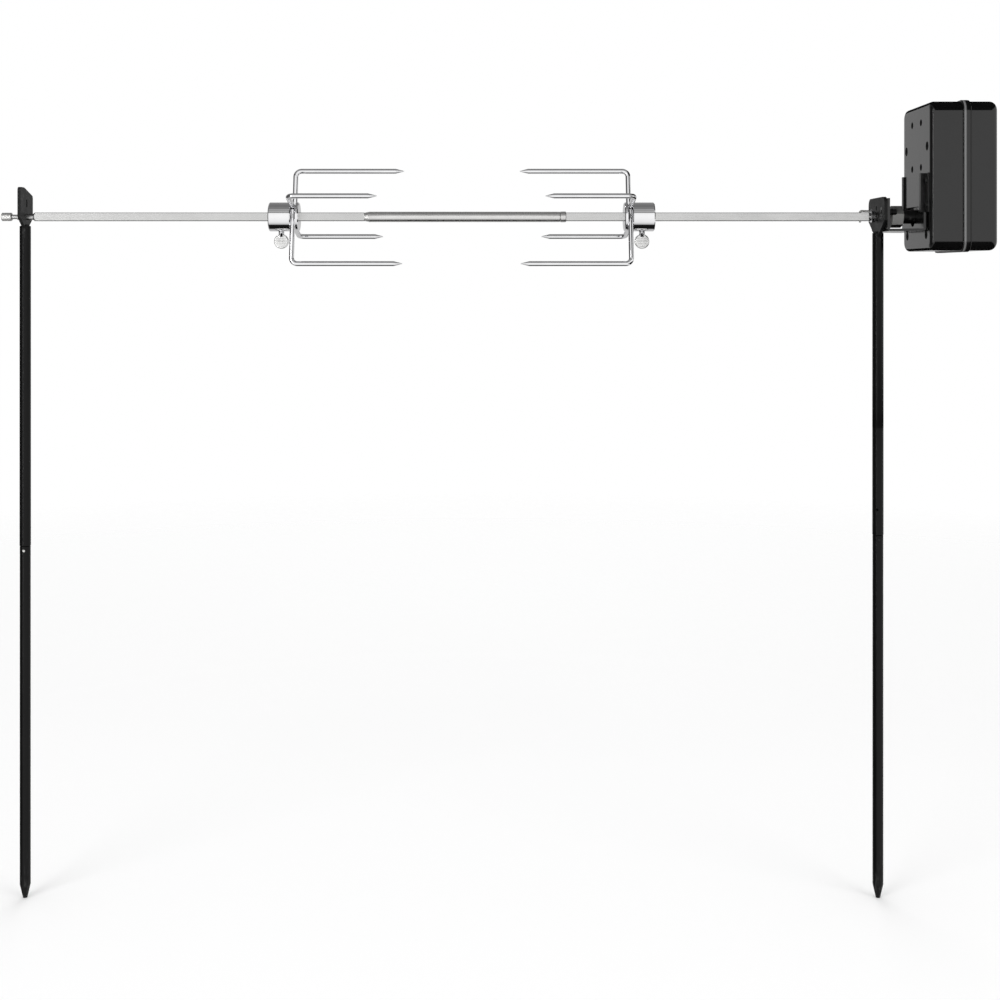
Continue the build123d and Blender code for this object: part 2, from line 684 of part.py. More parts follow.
with BuildPart() as front_shell:
    extrude(housing_outline(FACE_X), amount=SEAM_X[0] - FACE_X)
    fillet(front_shell.faces().sort_by(Axis.X)[0].edges(), FRONT_EDGE_R)
    with BuildPart(mode=Mode.PRIVATE) as hollow:
        extrude(housing_outline(INNER_FACE_X, -WALL), amount=SEAM_X[0] - INNER_FACE_X)
        fillet(hollow.faces().sort_by(Axis.X)[0].edges(), FRONT_EDGE_R - WALL)
    add(hollow.part, mode=Mode.SUBTRACT)
    for y, z in LOW_SCREWS:
        with BuildSketch(square_to_spit(INNER_FACE_X - 0.5)):
            with Locations(across(y, z)):
                Circle(4.4)
        extrude(amount=SEAM_X[1] - INNER_FACE_X + 0.5)
    with BuildSketch(square_to_spit(FACE_X)):
        with Locations(*[across(y, z) for y, z in LOW_SCREWS + TRAY_SCREWS]):
            Circle(SCREW_RECESS[0])
    extrude(amount=SCREW_RECESS[1], mode=Mode.SUBTRACT)
    with BuildSketch(square_to_spit(FACE_X)):
        with Locations(*[across(y, z) for y, z in LOW_SCREWS + TRAY_SCREWS]):
            Circle(SCREW_R)
    extrude(amount=SEAM_X[1] - FACE_X, mode=Mode.SUBTRACT)
    with BuildSketch(square_to_spit(FACE_X)):
        with Locations(*[across(y, z) for y, z in SPARE_HOLES]):
            Circle(SPARE_HOLE_R)
        with Locations(*[across(y, z) for y, z in RIVET_AT]):
            Circle(RIVET_R)
        with Locations(across(0, 0)):
            Circle(BUSH_R)
    extrude(amount=WALL, mode=Mode.SUBTRACT)
save(front_shell.part, "front_shell")

RIM_T = 3.0
RIM_DEPTH = 3.0
OPENING_Z = (COVER_Z[0] - COVER_GAP, COVER_Z[1] + COVER_GAP)
OPENING_HALF_W = COVER_HALF_W + COVER_GAP
COVER_PIN_R = 1.0
COVER_PIN_LENGTH = 2.6
HINGE_Z = COVER_Z[0] + COVER_BAR_R
BACK_INNER_X = BACK_X - WALL
SWITCH_CUT = (13.0, 19.0)     # along X, along Z
BOSS_R = 4.0

with BuildPart() as rear_shell:
    extrude(housing_outline(SEAM_X[1]), amount=BACK_X - SEAM_X[1])
    fillet(rear_shell.faces().sort_by(Axis.X)[-1].edges(), BACK_EDGE_R)
    with BuildPart(mode=Mode.PRIVATE) as cavity:
        extrude(housing_outline(SEAM_X[1], -WALL), amount=BACK_INNER_X - SEAM_X[1])
        fillet(cavity.faces().sort_by(Axis.X)[-1].edges(), BACK_EDGE_R - WALL)
    add(cavity.part, mode=Mode.SUBTRACT)
    for y, z in LOW_SCREWS:
        with BuildSketch(square_to_spit(SEAM_X[1])):
            with Locations(across(y, z)):
                Circle(BOSS_R)
        extrude(amount=BACK_INNER_X - SEAM_X[1] + 0.5)
    with BuildSketch(square_to_spit(SEAM_X[1])):
        with Locations(*[across(y, z) for y, z in LOW_SCREWS]):
            Circle(SCREW_R)
    extrude(amount=12.0, mode=Mode.SUBTRACT)
    opening_mid = sum(OPENING_Z) / 2
    opening_h = OPENING_Z[1] - OPENING_Z[0]
    with BuildSketch(square_to_spit(BACK_INNER_X - RIM_DEPTH)):
        with Locations(across(0, opening_mid)):
            Rectangle(2 * (OPENING_HALF_W + RIM_T), opening_h + 2 * RIM_T)
    extrude(amount=RIM_DEPTH + 0.5)
    with BuildSketch(square_to_spit(BACK_INNER_X - RIM_DEPTH)):
        with Locations(across(0, opening_mid)):
            Rectangle(2 * OPENING_HALF_W, opening_h)
    extrude(amount=BACK_X - BACK_INNER_X + RIM_DEPTH, mode=Mode.SUBTRACT)
    with BuildSketch(Plane.XZ):
        with Locations((HINGE_X, up(HINGE_Z))):
            Circle(COVER_PIN_R + RUN_GAP)
    extrude(amount=COVER_HALF_W + COVER_PIN_LENGTH + 0.3, both=True, mode=Mode.SUBTRACT)
    with BuildSketch(Plane.XZ.offset(-HOUSING_W / 2)):
        with Locations((SWITCH_X, AXIS_Z)):
            Rectangle(*SWITCH_CUT)
    extrude(amount=WALL, mode=Mode.SUBTRACT)
save(rear_shell.part, "rear_shell")

with BuildPart() as seal:
    extrude(housing_outline(BEAD_X[0], BEAD_PROUD), amount=BEAD_X[1] - BEAD_X[0])
    fillet(seal.faces().sort_by(Axis.X)[0].edges(), 1.2)
    fillet(seal.faces().sort_by(Axis.X)[-1].edges(), 1.2)
    with BuildSketch(square_to_spit(BEAD_GROOVE_X[0])):
        with Locations(across(0, HOUSING_MID_Z)):
            RectangleRounded(110, 160, 10)
            RectangleRounded(
                HOUSING_W + 2 * BEAD_PROUD - 1.4,
                HOUSING_H + 2 * BEAD_PROUD - 1.4,
                HOUSING_CORNER + BEAD_PROUD - 0.7,
                mode=Mode.SUBTRACT,
            )
    extrude(amount=BEAD_GROOVE_X[1] - BEAD_GROOVE_X[0], mode=Mode.SUBTRACT)
    extrude(housing_outline(BEAD_X[0]), amount=SEAM_X[0] - BEAD_X[0], mode=Mode.SUBTRACT)
    extrude(housing_outline(SEAM_X[1]), amount=BEAD_X[1] - SEAM_X[1], mode=Mode.SUBTRACT)
    extrude(housing_outline(SEAM_X[0], -WALL), amount=SEAM_X[1] - SEAM_X[0], mode=Mode.SUBTRACT)
save(seal.part, "housing_seal")

with BuildPart() as housing_screws:
    for spots, tip_x in ((LOW_SCREWS, 888.0), (TRAY_SCREWS, 856.5)):
        for y, z in spots:
            with BuildSketch(square_to_spit(FACE_X + 0.2)):
                with Locations(across(y, z)):
                    Circle(SCREW_HEAD_R)
                    Rectangle(3.6, 0.9, mode=Mode.SUBTRACT)
                    Rectangle(0.9, 3.6, mode=Mode.SUBTRACT)
            extrude(amount=0.8)
            with BuildSketch(square_to_spit(FACE_X + 1.0)):
                with Locations(across(y, z)):
                    Circle(SCREW_HEAD_R)
            extrude(amount=0.5)
            with BuildSketch(square_to_spit(FACE_X + 1.5)):
                with Locations(across(y, z)):
                    Circle(SCREW_R)
            extrude(amount=tip_x - FACE_X - 1.5)
save(housing_screws.part, "housing_screws")

# ---- Battery cover -----------------------------------------------------------------------
with BuildPart() as battery_cover:
    with BuildSketch(square_to_spit(BACK_X - WALL)):
        with Locations(across(0, (HINGE_Z + COVER_Z[1]) / 2)):
            Rectangle(2 * COVER_HALF_W, COVER_Z[1] - HINGE_Z)
    extrude(amount=WALL)
    fillet(battery_cover.edges().filter_by(Axis.X).group_by(Axis.Z)[-1], 1.5)
    with BuildSketch(Plane.XZ):
        with Locations((HINGE_X, up(HINGE_Z))):
            Circle(COVER_BAR_R)
    extrude(amount=COVER_HALF_W, both=True)
    with BuildSketch(Plane.XZ):
        with Locations((HINGE_X, up(HINGE_Z))):
            Circle(COVER_PIN_R)
    extrude(amount=COVER_HALF_W + COVER_PIN_LENGTH, both=True)
    with BuildSketch(square_to_spit(BACK_X)):
        with Locations(*[across(0, COVER_Z[1] - 11 + 3 * row) for row in range(3)]):
            Rectangle(20, 1.1)
    extrude(amount=0.5)
    with BuildSketch(square_to_spit(BACK_X - WALL)):
        with Locations(across(0, COVER_Z[1])):
            Rectangle(12, 2.4)
    extrude(amount=WALL + 1, mode=Mode.SUBTRACT)
save(battery_cover.part, "battery_cover")

# ---- Batteries and their tray ------------------------------------------------------------
TRAY_T = 1.4
WALL_T = 2.0
CONTACT_T = 0.5
CONTACT_Y = TRAY_HALF_W - WALL_T - CONTACT_T
CELL_HALF_L = 30.0
NUB_R = 4.75

with BuildPart() as tray:
    tray_mid_z = sum(TRAY_Z) / 2
    with BuildSketch(square_to_spit(TRAY_X[0])):
        with Locations(across(0, tray_mid_z)):
            Rectangle(2 * TRAY_HALF_W, TRAY_Z[1] - TRAY_Z[0])
    extrude(amount=TRAY_X[1] - TRAY_X[0])
    with BuildSketch(square_to_spit(TRAY_X[0] + 2.6)):
        with Locations(across(0, tray_mid_z + TRAY_T + 5)):
            Rectangle(2 * (TRAY_HALF_W - WALL_T), TRAY_Z[1] - TRAY_Z[0] + 10)
    extrude(amount=TRAY_X[1] - TRAY_X[0], mode=Mode.SUBTRACT)
    with BuildSketch(square_to_spit(INNER_FACE_X)):
        with Locations(*[across(y, z) for y, z in TRAY_SCREWS]):
            Circle(3.6)
    extrude(amount=TRAY_X[0] - INNER_FACE_X)
    with BuildSketch(square_to_spit(INNER_FACE_X)):
        with Locations(*[across(y, z) for y, z in TRAY_SCREWS]):
            Circle(SCREW_R)
    extrude(amount=9.0, mode=Mode.SUBTRACT)
save(tray.part, "battery_tray")

with BuildPart() as cells:
    for z, way in zip(CELL_Z, (1, -1)):
        with BuildSketch(Plane.XZ.offset(-CELL_HALF_L)):
            with Locations((CELL_X, up(z))):
                Circle(CELL_R)
        extrude(amount=2 * CELL_HALF_L)
    chamfer(cells.edges().filter_by(GeomType.CIRCLE), 0.6)
    for z, way in zip(CELL_Z, (1, -1)):
        with BuildSketch(Plane.XZ.offset(-way * CELL_HALF_L)):
            with Locations((CELL_X, up(z))):
                Circle(NUB_R)
        extrude(amount=-way * 1.5)
save(cells.part, "battery_cells")

with BuildPart() as contacts:
    for side in (-1, 1):
        with BuildSketch(Plane.XZ.offset(-side * CONTACT_Y)):
            with Locations((CELL_X, up(sum(CELL_Z) / 2))):
                Rectangle(22, 56)
        extrude(amount=-side * CONTACT_T)
    for z, way in zip(CELL_Z, (1, -1)):
        with BuildSketch(Plane.XZ.offset(-way * (CELL_HALF_L + 1.5))):
            with Locations((CELL_X, up(z))):
                Circle(3.6)
        extrude(amount=-way * (CONTACT_Y - CELL_HALF_L - 1.5))
save(contacts.part, "battery_contacts")

SPRING_PITCH = 1.7
SPRING_WIRE_R = 0.45
springs = []
for z, way in zip(CELL_Z, (1, -1)):
    travel = CONTACT_Y - CELL_HALF_L - 2 * SPRING_WIRE_R
    with BuildPart() as spring:
        with BuildLine():
            coil = Helix(
                pitch=SPRING_PITCH,
                height=travel,
                radius=6.0,
                center=(CELL_X, -way * (CELL_HALF_L + SPRING_WIRE_R), up(z)),
                direction=(0, -way, 0),
            )
        with BuildSketch(Plane(origin=coil @ 0, z_dir=coil % 0)):
            Circle(SPRING_WIRE_R)
        sweep()
    springs.append(spring.part)
save(Compound(children=springs), "battery_springs")

# ---- Power switch ------------------------------------------------------------------------
SWITCH_FACE_Y = 46.8
BEZEL = (15.0, 21.4)
with BuildPart() as switch_body:
    with BuildSketch(Plane.XZ.offset(-HOUSING_W / 2)):
        with Locations((SWITCH_X, AXIS_Z)):
            Rectangle(*BEZEL)
    extrude(amount=-(SWITCH_FACE_Y - HOUSING_W / 2))
    fillet(switch_body.edges().filter_by(Axis.Y), 1.2)
    with BuildSketch(Plane.XZ.offset(-33.0)):
        with Locations((SWITCH_X, AXIS_Z)):
            Rectangle(*SWITCH_CUT)
    extrude(amount=-(HOUSING_W / 2 - 33.0))
    with BuildSketch(Plane.XZ.offset(-41.6)):
        with Locations((SWITCH_X, AXIS_Z)):
            Rectangle(11.4, 18.0)
    extrude(amount=-6.0, mode=Mode.SUBTRACT)
    with BuildSketch(Plane.YZ.offset(SWITCH_X)):
        with Locations((SWITCH_PIVOT_Y, AXIS_Z)):
            Circle(1.0 + RUN_GAP)
    extrude(amount=6.3, both=True, mode=Mode.SUBTRACT)
    with BuildSketch(Plane.XZ.offset(-30.0)):
        with Locations((SWITCH_X, up(5)), (SWITCH_X, up(-5))):
            Rectangle(4.8, 0.8)
    extrude(amount=-3.0)
save(switch_body.part, "switch_body")

with BuildPart() as rocker:
    pivot = Plane(
        origin=(SWITCH_X, SWITCH_PIVOT_Y, AXIS_Z),
        x_dir=(0, math.sin(math.radians(ROCKER_TILT)), math.cos(math.radians(ROCKER_TILT))),
        z_dir=(1, 0, 0),
    )
    with BuildSketch(pivot):
        with BuildLine():
            Polyline(
                (-8.2, -0.6),
                (-7.9, -1.4),
                (0.0, -2.8),
                (7.9, -1.4),
                (8.2, -0.6),
                (7.4, 2.4),
                (0.0, 3.0),
                (-7.4, 2.4),
                close=True,
            )
        make_face()
    extrude(amount=5.4, both=True)
    fillet(rocker.edges().filter_by(Axis.X), 0.25)
    with BuildSketch(Plane.YZ.offset(SWITCH_X)):
        with Locations((SWITCH_PIVOT_Y, AXIS_Z)):
            Circle(1.0)
    extrude(amount=6.1, both=True)
save(rocker.part, "switch_rocker")

# ---- Gear train --------------------------------------------------------------------------
def gear_outline(teeth, first_tooth):
    """Straight-flanked tooth outline with backlash; first_tooth is a tooth's angle."""
    pitch_r = GEAR_MODULE * teeth / 2
    root_r = pitch_r - 1.15 * GEAR_MODULE
    tip_r = pitch_r + 0.8 * GEAR_MODULE
    half_root = 1.02 * GEAR_MODULE
    half_tip = 0.32 * GEAR_MODULE
    Circle(root_r)
    with PolarLocations(0, teeth, start_angle=first_tooth):
        Polygon(
            (root_r - 0.3, -half_root),
            (tip_r, -half_tip),
            (tip_r, half_tip),
            (root_r - 0.3, half_root),
            align=None,
        )


def half_tooth(teeth):
    return 180.0 / teeth


COMPOUND_ANGLE = math.degrees(math.atan2(COMPOUND_AT[1], COMPOUND_AT[0]))
AXLE_R = 2.0
HUB_BORE_R = AXLE_R + RUN_GAP
REAR_JOURNAL_R = 4.0

with BuildPart() as output_gear:
    with BuildSketch(square_to_spit(OUTPUT_GEAR_X[0])):
        with Locations(across(0, 0)):
            gear_outline(OUTPUT_TEETH, COMPOUND_ANGLE)
            Circle(SOCKET_R, mode=Mode.SUBTRACT)
    extrude(amount=OUTPUT_GEAR_X[1] - OUTPUT_GEAR_X[0])
    with BuildSketch(square_to_spit(OUTPUT_GEAR_X[0])):
        with Locations(across(0, 0)):
            with PolarLocations(13.5, 6):
                Circle(3.2)
    extrude(amount=OUTPUT_GEAR_X[1] - OUTPUT_GEAR_X[0], mode=Mode.SUBTRACT)
save(output_gear.part, "output_gear")

with BuildPart() as drive_socket:
    with BuildSketch(square_to_spit(DRIVE_COLLAR_X[1])):
        with Locations(across(0, 0)):
            Circle(SOCKET_R)
    extrude(amount=860.0 - DRIVE_COLLAR_X[1])
    chamfer(drive_socket.faces().sort_by(Axis.X)[0].edges(), 0.5)
    with BuildSketch(square_to_spit(860.0)):
        with Locations(across(0, 0)):
            Circle(REAR_JOURNAL_R)
    extrude(amount=10.0)
    with BuildSketch(square_to_spit(DRIVE_COLLAR_X[1])):
        with Locations(across(0, 0)):
            Rectangle(TAIL + 0.1, TAIL + 0.1)
    extrude(amount=15.0, mode=Mode.SUBTRACT)
save(drive_socket.part, "drive_socket")

with BuildPart() as front_bush:
    with BuildSketch(square_to_spit(FACE_X)):
        with Locations(across(0, 0)):
            Circle(BUSH_R)
    extrude(amount=4.5)
    with BuildSketch(square_to_spit(INNER_FACE_X)):
        with Locations(across(0, 0)):
            Circle(10.5)
    extrude(amount=1.5)
    with BuildSketch(square_to_spit(FACE_X)):
        with Locations(across(0, 0)):
            Circle(SOCKET_R + RUN_GAP)
    extrude(amount=4.5, mode=Mode.SUBTRACT)
save(front_bush.part, "output_front_bush")

with BuildPart() as rear_bush:
    with BuildSketch(square_to_spit(GEAR_PLATE_X[0] - 1.2)):
        with Locations(across(0, 0)):
            Circle(8.0)
    extrude(amount=1.2)
    with BuildSketch(square_to_spit(GEAR_PLATE_X[0])):
        with Locations(across(0, 0)):
            Circle(6.2)
    extrude(amount=GEAR_PLATE_X[1] - GEAR_PLATE_X[0])
    with BuildSketch(square_to_spit(GEAR_PLATE_X[0] - 1.2)):
        with Locations(across(0, 0)):
            Circle(REAR_JOURNAL_R + RUN_GAP)
    extrude(amount=4.0, mode=Mode.SUBTRACT)
save(rear_bush.part, "output_rear_bush")

with BuildPart() as compound_gear:
    with BuildSketch(square_to_spit(OUTPUT_GEAR_X[0])):
        with Locations(across(*COMPOUND_AT)):
            gear_outline(PINION_TEETH, COMPOUND_ANGLE + 180 + half_tooth(PINION_TEETH))
    extrude(amount=OUTPUT_GEAR_X[1] - OUTPUT_GEAR_X[0] + 1.3)
    with BuildSketch(square_to_spit(WHEEL_X[0])):
        with Locations(across(*COMPOUND_AT)):
            gear_outline(WHEEL_TEETH, 180)
            with PolarLocations(11.5, 5):
                Circle(2.8, mode=Mode.SUBTRACT)
    extrude(amount=WHEEL_X[1] - WHEEL_X[0])
    with BuildSketch(square_to_spit(OUTPUT_GEAR_X[0])):
        with Locations(across(*COMPOUND_AT)):
            Circle(HUB_BORE_R)
    extrude(amount=WHEEL_X[1] - OUTPUT_GEAR_X[0], mode=Mode.SUBTRACT)
save(compound_gear.part, "compound_gear")

with BuildPart() as axle:
    with BuildSketch(square_to_spit(INNER_FACE_X)):
        with Locations(across(*COMPOUND_AT)):
            Circle(AXLE_R)
    extrude(amount=GEAR_PLATE_X[1] - INNER_FACE_X + 1.0)
save(axle.part, "compound_gear_axle")

with BuildPart() as drive_pinion:
    with BuildSketch(square_to_spit(WHEEL_X[0])):
        with Locations(across(*MOTOR_AT)):
            gear_outline(PINION_TEETH, half_tooth(PINION_TEETH))
    extrude(amount=WHEEL_X[1] - WHEEL_X[0])
    with BuildSketch(square_to_spit(WHEEL_X[0] - 0.7)):
        with Locations(across(*MOTOR_AT)):
            Circle(AXLE_R)
    extrude(amount=13.5)
save(drive_pinion.part, "drive_pinion")

POST_AT = ((-20.0, -24.0), (20.0, -24.0), (-20.0, 30.5), (38.2, 32.6))
POST_R = 3.4
with BuildPart() as posts:
    with BuildSketch(square_to_spit(INNER_FACE_X)):
        with Locations(*[across(y, z) for y, z in POST_AT]):
            Circle(POST_R)
    extrude(amount=GEAR_PLATE_X[0] - INNER_FACE_X)
save(posts.part, "gear_plate_posts")

with BuildPart() as gear_plate:
    with BuildSketch(square_to_spit(GEAR_PLATE_X[0])):
        with BuildLine():
            Polyline(
                across(-24.0, -28.0),
                across(24.5, -28.0),
                across(24.5, -4.0),
                across(42.0, 12.0),
                across(42.0, 36.0),
                across(-24.0, 36.0),
                close=True,
            )
        face = make_face()
        fillet(face.vertices(), 2.5)
        with Locations(across(0, 0)):
            Circle(6.2, mode=Mode.SUBTRACT)
        with Locations(across(*COMPOUND_AT)):
            Circle(AXLE_R, mode=Mode.SUBTRACT)
        with Locations(across(*MOTOR_AT)):
            Circle(4.0, mode=Mode.SUBTRACT)
    extrude(amount=GEAR_PLATE_X[1] - GEAR_PLATE_X[0])
save(gear_plate.part, "gear_plate")

GEARBOX_X = (868.0, 882.0)
MOTOR_BACK_X = 901.0
with BuildPart() as gearbox:
    with BuildSketch(square_to_spit(GEARBOX_X[0])):
        with Locations(across(*MOTOR_AT)):
            Circle(12.25)
    extrude(amount=GEARBOX_X[1] - GEARBOX_X[0])
    with BuildSketch(square_to_spit(GEAR_PLATE_X[0])):
        with Locations(across(*MOTOR_AT)):
            Circle(4.0)
    extrude(amount=GEAR_PLATE_X[1] - GEAR_PLATE_X[0])
    with BuildSketch(square_to_spit(GEAR_PLATE_X[0])):
        with Locations(across(*MOTOR_AT)):
            Circle(AXLE_R + RUN_GAP)
    extrude(amount=7.0, mode=Mode.SUBTRACT)
    # the output shaft's rear journal clears this blind bearing by its own end play
save(gearbox.part, "reduction_gearbox")

with BuildPart() as motor_can:
    with BuildSketch(square_to_spit(GEARBOX_X[1])):
        with Locations(across(*MOTOR_AT)):
            Circle(12.0)
    extrude(amount=MOTOR_BACK_X - GEARBOX_X[1])
    fillet(motor_can.faces().sort_by(Axis.X)[-1].edges(), 1.5)
    with BuildSketch(square_to_spit(MOTOR_BACK_X)):
        with Locations(across(*MOTOR_AT)):
            Circle(3.5)
    extrude(amount=1.6)
save(motor_can.part, "motor_can")

LEAD_R = 0.8


def lead(points, bend):
    """One insulated wire along straight runs joined by arcs."""
    with BuildPart() as wire:
        with BuildLine():
            line = FilletPolyline(*points, radius=bend)
        with BuildSketch(Plane(origin=line @ 0, z_dir=line % 0)):
            Circle(LEAD_R)
        sweep()
    return wire.part


to_motor = lead(
    [
        (SWITCH_X, 30.0, up(5)),
        (SWITCH_X, 22.0, up(5)),
        (903.4, 16.0, up(10)),
        (903.4, 5.5, up(16)),
    ],
    2.6,
)
to_tray = lead(
    [
        (SWITCH_X, 30.0, up(-5)),
        (SWITCH_X, 24.0, up(-5)),
        (886.0, 24.0, up(26)),
        (886.0, 34.0, up(32)),
        (886.0, 34.0, up(TRAY_Z[0])),
    ],
    1.9,
)
save(Compound(children=[to_motor, to_tray]), "internal_leads")
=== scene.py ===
import math

import bmesh
import bpy
from mathutils import Matrix, Vector


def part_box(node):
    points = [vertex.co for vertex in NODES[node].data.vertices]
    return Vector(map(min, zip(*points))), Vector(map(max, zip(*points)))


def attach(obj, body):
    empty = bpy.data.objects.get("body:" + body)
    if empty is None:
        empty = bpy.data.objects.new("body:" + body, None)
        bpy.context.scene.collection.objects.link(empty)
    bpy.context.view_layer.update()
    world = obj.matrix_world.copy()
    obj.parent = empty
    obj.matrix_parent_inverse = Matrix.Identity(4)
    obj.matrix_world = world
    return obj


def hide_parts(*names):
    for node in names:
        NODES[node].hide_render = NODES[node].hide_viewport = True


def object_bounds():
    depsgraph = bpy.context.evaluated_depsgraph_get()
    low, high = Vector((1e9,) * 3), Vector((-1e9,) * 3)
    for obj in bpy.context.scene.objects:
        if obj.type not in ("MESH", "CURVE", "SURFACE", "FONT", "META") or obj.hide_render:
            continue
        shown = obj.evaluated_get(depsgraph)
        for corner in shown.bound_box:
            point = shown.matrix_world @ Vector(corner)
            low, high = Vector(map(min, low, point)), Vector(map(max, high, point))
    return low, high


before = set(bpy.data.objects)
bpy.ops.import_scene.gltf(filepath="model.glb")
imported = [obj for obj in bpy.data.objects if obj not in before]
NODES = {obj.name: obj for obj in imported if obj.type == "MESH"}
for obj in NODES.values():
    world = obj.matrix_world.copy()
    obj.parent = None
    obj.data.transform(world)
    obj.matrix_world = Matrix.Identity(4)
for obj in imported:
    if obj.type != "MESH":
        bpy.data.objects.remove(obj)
CAD_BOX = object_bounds()

MM = 0.001
AXIS_Z = sum(c.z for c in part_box("spit_sleeve")) / 2
TIP_Z = CAD_BOX[0].z

scene = bpy.context.scene
scene.view_settings.view_transform = "Standard"
scene.view_settings.look = "None"


# ---- Camera ------------------------------------------------------------------------------
CAMERA_X = 0.432
CAMERA_DISTANCE = 1.4
CAMERA_DROP = 0.055
FOCAL_PX = 1473.7
AXIS_PX = (480.0, 216.9)
FRAME_PX = 1000.0
SENSOR_MM = 36.0

cam_data = bpy.data.cameras.new("camera")
cam_data.sensor_width = SENSOR_MM
cam_data.lens = FOCAL_PX * SENSOR_MM / FRAME_PX
cam_data.shift_x = (FRAME_PX / 2 - AXIS_PX[0]) / FRAME_PX
horizon_px = AXIS_PX[1] + CAMERA_DROP * FOCAL_PX / CAMERA_DISTANCE
cam_data.shift_y = (horizon_px - FRAME_PX / 2) / FRAME_PX
cam_data.clip_start = 0.01
cam_data.clip_end = 100.0
camera = bpy.data.objects.new("camera", cam_data)
camera.location = (CAMERA_X, -CAMERA_DISTANCE, AXIS_Z - CAMERA_DROP)
camera.rotation_euler = (math.pi / 2, 0, 0)
scene.collection.objects.link(camera)
scene.camera = camera


# ---- Node helpers ------------------------------------------------------------------------
# sockets of a Mix node set to colour
MIX_FACTOR, MIX_A, MIX_B = 0, 6, 7
MIX_RESULT = 2

# how far bumps stand up
GRAIN = 0.02 * MM
HAIRLINE = 0.01 * MM
RIPPLE = 0.03 * MM


class Tree:
    """Short-hand for building a node tree."""

    def __init__(self, tree):
        self.tree = tree
        self.nodes = tree.nodes
        self.links = tree.links

    def add(self, kind, **values):
        node = self.nodes.new(kind)
        for key, value in values.items():
            setattr(node, key, value)
        return node

    def feed(self, socket, value):
        """Links a socket to another one, or sets it; three numbers are a colour."""
        if isinstance(value, bpy.types.NodeSocket):
            self.links.new(value, socket)
        elif hasattr(value, "__len__") and len(value) == 3:
            socket.default_value = (*value, 1.0)
        else:
            socket.default_value = value

    def set(self, node, **inputs):
        for key, value in inputs.items():
            self.feed(node.inputs[key.replace("_", " ")], value)
        return node

    def coords(self, scale=(1, 1, 1), rotate=(0, 0, 0)):
        where = self.add("ShaderNodeTexCoord")
        mapping = self.add("ShaderNodeMapping")
        self.links.new(where.outputs["Object"], mapping.inputs["Vector"])
        mapping.inputs["Scale"].default_value = scale
        mapping.inputs["Rotation"].default_value = rotate
        return mapping.outputs["Vector"]

    def noise(self, vector, scale, detail=3.0, rough=0.55):
        node = self.add("ShaderNodeTexNoise")
        self.set(node, Vector=vector, Scale=scale, Detail=detail, Roughness=rough)
        return node.outputs["Fac"]

    def spread(self, value, low, high, to_low=0.0, to_high=1.0):
        node = self.add("ShaderNodeMapRange")
        self.links.new(value, node.inputs["Value"])
        node.inputs["From Min"].default_value = low
        node.inputs["From Max"].default_value = high
        node.inputs["To Min"].default_value = to_low
        node.inputs["To Max"].default_value = to_high
        return node.outputs["Result"]

    def mix(self, fac, a, b):
        node = self.add("ShaderNodeMix", data_type="RGBA")
        for index, value in ((MIX_FACTOR, fac), (MIX_A, a), (MIX_B, b)):
            self.feed(node.inputs[index], value)
        return node.outputs[MIX_RESULT]

    def math(self, kind, a, b=0.0):
        node = self.add("ShaderNodeMath", operation=kind)
        self.feed(node.inputs[0], a)
        self.feed(node.inputs[1], b)
        return node.outputs[0]

    def bump(self, height, strength, distance, normal=None):
        node = self.add("ShaderNodeBump")
        node.inputs["Strength"].default_value = strength
        node.inputs["Distance"].default_value = distance
        self.links.new(height, node.inputs["Height"])
        if normal is not None:
            self.links.new(normal, node.inputs["Normal"])
        return node.outputs["Normal"]


def grey(value):
    return (value, value, value)


def new_material(name):
    mat = bpy.data.materials.new(name)
    mat.use_nodes = True
    tree = Tree(mat.node_tree)
    shader = mat.node_tree.nodes["Principled BSDF"]
    return mat, tree, shader


# a stake is scratched from its tip upwards: fully at the first height, not at all at the second
SCRATCHED_TO = 4.0 * MM
UNSCRATCHED_FROM = 55.0 * MM
SCRATCH_DEPTH = 0.12


def worn_paint(name, base, worn, roughness, peel=0.35, wear=0.5, specular=0.5, tip_z=None):
    """Satin paint on steel: orange peel, dull patches, and bare metal where it rubs."""
    mat, t, s = new_material(name)
    at = t.coords()
    broad = t.noise(at, 38.0, 4.0, 0.6)
    fine = t.noise(at, 900.0, 2.0, 0.5)
    edge = t.add("ShaderNodeNewGeometry").outputs["Pointiness"]
    sharp = t.spread(edge, 0.53, 0.62)
    chips = t.spread(t.noise(at, 260.0, 4.0, 0.7), 0.56, 0.66)
    worn_here = t.math("MULTIPLY", t.math("MULTIPLY", sharp, chips), wear)
    if tip_z is not None:
        split = t.add("ShaderNodeSeparateXYZ")
        t.links.new(at, split.inputs[0])
        near_tip = t.spread(split.outputs["Z"], tip_z + UNSCRATCHED_FROM, tip_z + SCRATCHED_TO)
        streaks = t.noise(t.coords((1, 1, 0.12)), 420.0, 5.0, 0.75)
        scratched = t.math("MULTIPLY", near_tip, t.spread(streaks, 0.5, 0.62))
        worn_here = t.math("MAXIMUM", worn_here, t.math("MULTIPLY", scratched, SCRATCH_DEPTH))
    tone = t.mix(t.spread(broad, 0.35, 0.65), grey(base * 0.8), grey(base * 1.25))
    colour = t.mix(worn_here, tone, grey(worn))
    t.set(s, Base_Color=colour)
    t.links.new(worn_here, s.inputs["Metallic"])
    t.links.new(t.spread(broad, 0.3, 0.7, roughness * 0.86, roughness * 1.16), s.inputs["Roughness"])
    s.inputs["Specular IOR Level"].default_value = specular
    t.links.new(t.bump(fine, peel, GRAIN), s.inputs["Normal"])
    return mat


